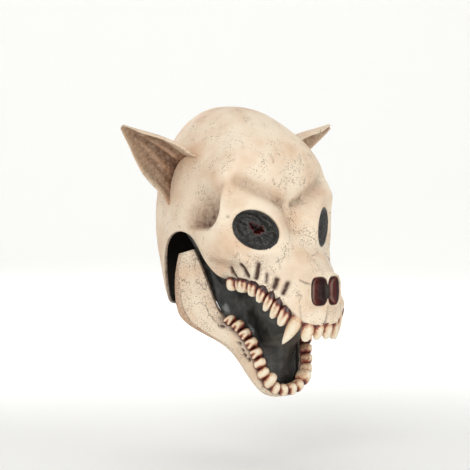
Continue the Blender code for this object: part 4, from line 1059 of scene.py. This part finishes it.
def lining_edges(place):
    """Upper and lower edge inside the two rows, from the middle line (0) to the corner of the cheek (1)."""
    rib = np.interp(place, (0, 0.5, 0.8, 1), (0, TOOTH_ROW_END, 11.0, 12.4))
    section = np.interp(place, (0, 0.5, 0.8, 1), (0, JAW_TEETH_END, 10.4, LAST_SECTION))
    clear = 0.8 * MM * (1 + 3.2 * ramp(place, 0.35, 0.6)) + LINING_WALL / 2
    above, _, out_above, tips_above = edge_frame(EDGE, rib, LAST_RIB, upper_tips(rib))
    below, _, out_below, tips_below = edge_frame(JAW_TOP, section, LAST_SECTION, lower_tips(section))
    upper = above - out_above * (skull_ledge(rib) + clear)[:, None] - tips_above * WALL * 1.4
    lower = below - out_below * (jaw_ledge(section) + clear)[:, None] - tips_below * WALL * 1.4
    return upper, lower


def lining_surface(place, share):
    """Straight between the edges, plus a half sine of sag back at the front and inwards at the cheeks, plus folds."""
    upper, lower = lining_edges(place[:, 0])
    front = (1 - ramp(place, 0.15, 0.75))[..., None]
    sag = np.sin(np.pi * share)[..., None] * LINING_SAG * MUZZLE_REACH
    reach = share + LINING_TUCK * (2 * share - 1) * ramp(np.abs(2 * share - 1), 0.7, 1.0)
    flat = reach[..., None] * (lower - upper)[:, None] + upper[:, None]
    cheek = (ramp(place, 0.1, 0.4) * ramp(place, 1.0, 0.6))[..., None]
    fold = (LINING_FOLD * ripple(place * 13, share * 7, 0.5) * np.sin(np.pi * share) * ramp(place, 0, 0.05))[..., None]
    back_up, inwards = np.array([0.0, 1.0, 0.25]), np.array([-1.0, 0.0, 0.0])
    return flat + sag * (front * back_up + 0.30 * cheek * inwards) + fold * (back_up * front + inwards * cheek)


def build_lining():
    """The sheet, mirrored, with the metres along each column kept as a mask that spaces the ribs."""
    at = np.concatenate((np.linspace(0, 0.5, LINING_ROWS // 2), np.linspace(0.5, 1, LINING_ROWS // 2)[1:]))
    place, share = np.meshgrid(at, np.linspace(0, 1, LINING_COLUMNS), indexing="ij")
    half = lining_surface(place, share)
    half[0, :, 0] = 0
    steps = np.linalg.norm(np.diff(half, axis=1), axis=-1)
    metres = np.pad(np.cumsum(steps, axis=1), ((0, 0), (1, 0)))
    shown = ramp(share, 0.60, 0.85) * ramp(place, 0.42, 0.2)
    whole = mirrored(half)
    paint = {key: mirrored(mask) for key, mask in (("ribs", metres), ("ribbed", shown), ("flesh", 0 * shown))}
    lining = make_piece("mouth_lining_sheet", whole, grid_quads(*whole.shape[:2]), lining_coat, paint, "black")
    add_wall(lining, LINING_WALL).modifiers["wall"].offset = 0
    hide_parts("mouth_lining")
    return lining


lining = build_lining()
print("lining faces:", len(lining.data.polygons))

# %% [markdown]
# ## Ears
# The ears are tall leaf-shaped cups with a thick rolled rim, brown inside as painted shade, with two folds that run
# from the root towards the tip. One closed section is carried from the root to the tip: its first half is the hollow
# face and its second half the outer face.

# %% Ears
EAR_LENGTH, EAR_WIDTH, EAR_CUP, EAR_WALL = 93 * MM, 60 * MM, 20 * MM, 3 * MM
EAR_RISE, EAR_BACK = np.radians(34.5), np.radians(-1.0)
EAR_ROOT = (0.92, -0.525, 0.44)
EAR_OUTLINE = (
    # along  width  cup   bow
    (0.00, 1.00, 1.00, 0.00),
    (0.18, 0.97, 1.00, 0.03),
    (0.36, 0.84, 0.92, 0.05),
    (0.54, 0.65, 0.76, 0.05),
    (0.72, 0.43, 0.54, 0.03),
    (0.88, 0.25, 0.30, 0.01),
    (1.00, 0.11, 0.10, 0.00),
)
EAR_RINGS, EAR_SPOKES = 70, 72
EAR_ROLL, EAR_RIM, EAR_FOLD, EAR_UNEVEN = 1.3 * MM, 4.2 * MM, 3.2 * MM, 0.5 * MM


def skull_height(points, out):
    """How far along out the skull's outermost surface lies from each point: a weighted mean of samples nearby."""
    rib, share = np.meshgrid(np.linspace(8, LAST_RIB, 240), np.linspace(0, 1, 100), indexing="ij")
    cloud = skull_surface(rib, share)[0].reshape(-1, 3)
    offset = cloud[None] - points[:, None]
    along = offset @ out
    aside = (offset**2).sum(-1) - along**2
    weight = np.exp(-aside / (2 * (2.5 * MM) ** 2) + along / (3 * MM)) * (np.abs(along) < 60 * MM)
    return (weight * along).sum(1) / np.maximum(weight.sum(1), 1e-12)


def ear_surface(along, around):
    """Root, plus the way along the axis, plus the swing across, minus the cup's depth, plus rim and folds."""
    axis = np.array([np.cos(EAR_RISE) * np.cos(EAR_BACK), np.sin(EAR_BACK), np.sin(EAR_RISE)])
    wide = np.array([-0.35, -0.65, 0.70])
    wide = unit(wide - wide @ axis * axis)
    hollow = unit(np.cross(wide, axis))
    hollow = hollow if hollow[1] < 0 else -hollow
    table = np.array(EAR_OUTLINE)
    place = np.interp(along, table[:, 0], np.arange(len(table)))
    width, cup, bow = np.moveaxis(through(table[:, 1:], place), -1, 0)
    width, cup = np.maximum(width, 0.02), np.maximum(cup, 0.02)
    root = shares_to_metres([EAR_ROOT], FACE_DROP)[0]
    swing = np.where(around < 0.5, 4 * around - 1, 3 - 4 * around)
    inner = around < 0.5
    bend = np.abs(swing)
    flare = 1 + 0.10 * bell(along / 0.07)
    thick = EAR_WALL * np.sqrt(np.maximum(1 - bend**8, 0.0)) * np.where(inner, 0, 1)
    face = np.where(inner, 1.0, 0.0)
    roll = EAR_ROLL * bell((bend - 0.93) / 0.07) * np.where(inner, 1.0, -0.6) * ramp(along, 1.0, 0.8)
    roll = roll + EAR_RIM * bell((swing - 0.82) / 0.17) * face * ramp(along, 1.0, 0.75)
    folds = bell((swing - 0.30 + 0.15 * along) / 0.10) + 0.8 * bell((swing + 0.28 - 0.1 * along) / 0.12)
    folds = folds * face * ramp(along, 0.0, 0.15) * ramp(along, 0.85, 0.45)
    uneven = EAR_UNEVEN * ripple(along * 9, swing * 4, 0.8) * np.where(inner, 1, 0.6)
    depth = (1 - bend**2) * cup * EAR_CUP * flare + bow * EAR_LENGTH + thick - roll
    depth = depth - EAR_FOLD * folds + uneven * (1 - bend**6)
    across = swing * width * EAR_WIDTH / 2 * flare
    point = root + axis * (along * EAR_LENGTH)[..., None] + wide * across[..., None] - hollow * depth[..., None]
    lift = skull_height(point[0], axis) - 1.5 * MM
    point = point + axis * (lift * np.clip(1 - along / 0.3, 0, 1))[..., None]
    rimless = face * ramp(swing, 0.72, 0.54)
    # The brown inside the cup is painted shade: heaviest in the middle and towards the root, lighter on the raised
    # folds, and a band of painted shadow just inside the rolled rim.
    wash_and_shade = (1 - bend**2) * (0.95 - 0.50 * along) * (1 - 0.8 * folds) * rimless
    wash_and_shade = wash_and_shade + 0.3 * face * bell((bend - 0.80) / 0.08) * ramp(along, 1, 0.3)
    blush = np.where(inner, 0.65 * (1 - bend**4) * rimless, 0.22) + 0.3 * bell(along / 0.1)
    return point, wash_and_shade, blush


def build_ears():
    """The closed section carried to the tip. Both ends are capped with strips from the inner face to the outer."""
    turns = np.linspace(0, 1, EAR_SPOKES, endpoint=False)
    along, around = np.meshgrid(np.linspace(0, 1, EAR_RINGS), turns, indexing="ij")
    points, wash_and_shade, blush = ear_surface(along, around)
    paint = {"hollow": wash_and_shade, "blush": blush, "grain": 0.2 + 0 * wash_and_shade}
    last = (EAR_RINGS - 1) * EAR_SPOKES
    spoke = np.arange(EAR_SPOKES // 2)
    caps = []
    for start in (0, last):
        other = start + (EAR_SPOKES - spoke) % EAR_SPOKES
        beyond = start + (EAR_SPOKES - spoke - 1) % EAR_SPOKES
        strips = np.stack((start + spoke, start + spoke + 1, beyond, other), axis=-1)
        caps += [list(dict.fromkeys(map(int, strip))) for strip in strips]
    caps = [cap for cap in caps if len(cap) > 2]
    quads = grid_quads(EAR_RINGS, EAR_SPOKES, True)
    for side, label in SIDES:
        mesh = points * (side, 1, 1), quads, bone, paint, "bone"
        ear = make_piece(f"ear_{label}_leaf", *mesh, solid=True, caps=caps)
        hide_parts(f"ear_{label}")


build_ears()

# %% [markdown]
# ## Floor and light
# The mask was photographed on white, in soft light from the front. A pale floor that turns up into a round wall gives
# the same ground from every side. Four large area lights keep the shadows soft, and a fifth lights the wall behind.

# %% Studio
FLOOR_DROP, FLOOR_RADIUS, WALL_RADIUS, WALL_TOP = 0.40, 3.0, 1.6, 3.2
FLAT_RINGS, BEND_RINGS, FLOOR_SPOKES = 12, 16, 96


def build_floor():
    """Surface of revolution: flat to the floor radius, then a quarter circle up, then a straight wall."""
    bend = np.linspace(0, np.pi / 2, BEND_RINGS)[1:]
    flat = np.linspace(0, FLOOR_RADIUS, FLAT_RINGS)
    way = np.concatenate((flat, FLOOR_RADIUS + WALL_RADIUS * np.sin(bend), [FLOOR_RADIUS + WALL_RADIUS]))
    rise = np.concatenate((0 * flat, WALL_RADIUS * (1 - np.cos(bend)), [WALL_TOP])) - FLOOR_DROP
    turn = circle(FLOOR_SPOKES)
    points = np.stack((np.outer(way, np.cos(turn)), np.outer(way, np.sin(turn)), np.outer(rise, 0 * turn + 1)), axis=-1)
    mesh = bpy.data.meshes.new("floor")
    mesh.from_pydata(points.reshape(-1, 3).tolist(), [], grid_quads(len(way), FLOOR_SPOKES, True)[:, ::-1].tolist())
    mesh.shade_smooth()
    material, _, shader, _ = new_material("matt_white_paper", 0.9)
    shader.inputs["Base Color"].default_value = paint_colour("#FAFAF8")
    mesh.materials.append(material)
    floor = bpy.data.objects.new("floor", mesh)
    bpy.context.scene.collection.objects.link(floor)
    floor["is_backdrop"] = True


def add_light(name, place, size, power, target=(0, -0.05, -0.15)):
    """A square area light at place that looks at target."""
    light = bpy.data.lights.new(name, "AREA")
    light.size, light.energy = size, power
    lamp = bpy.data.objects.new(name, light)
    lamp.location = place
    lamp.rotation_euler = (Vector(place) - Vector(target)).to_track_quat("Z", "Y").to_euler()
    bpy.context.scene.collection.objects.link(lamp)


build_floor()
add_light("key", (-2.3, -1.7, 1.2), 1.4, 33)
add_light("front fill", (0.9, -2.5, 0.4), 1.8, 12)
add_light("top", (0.0, 0.2, 2.4), 2.0, 10)
add_light("rear", (0.6, 2.4, 1.0), 1.6, 10)
add_light("backdrop", (0.7, 1.0, 1.5), 2.0, 34, target=(2.2, 2.7, 0.3))
world = bpy.data.worlds.new("studio")
world.use_nodes = True
world.node_tree.nodes["Background"].inputs["Color"].default_value = paint_colour("#FFFFFF")
world.node_tree.nodes["Background"].inputs["Strength"].default_value = 0.50
bpy.context.scene.world = world
bpy.context.scene.view_settings.view_transform = "Standard"

# %% [markdown]
# ## Sizes at the end
# The dressed mask has to stay the size of its solids, so both boxes are printed side by side.

# %% Sizes and finish
dressed_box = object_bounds()
for title, box in (("solids", cad_box), ("dressed", dressed_box)):
    print(title, [round((b - a) / MM, 1) for a, b in zip(*box)], "mm")
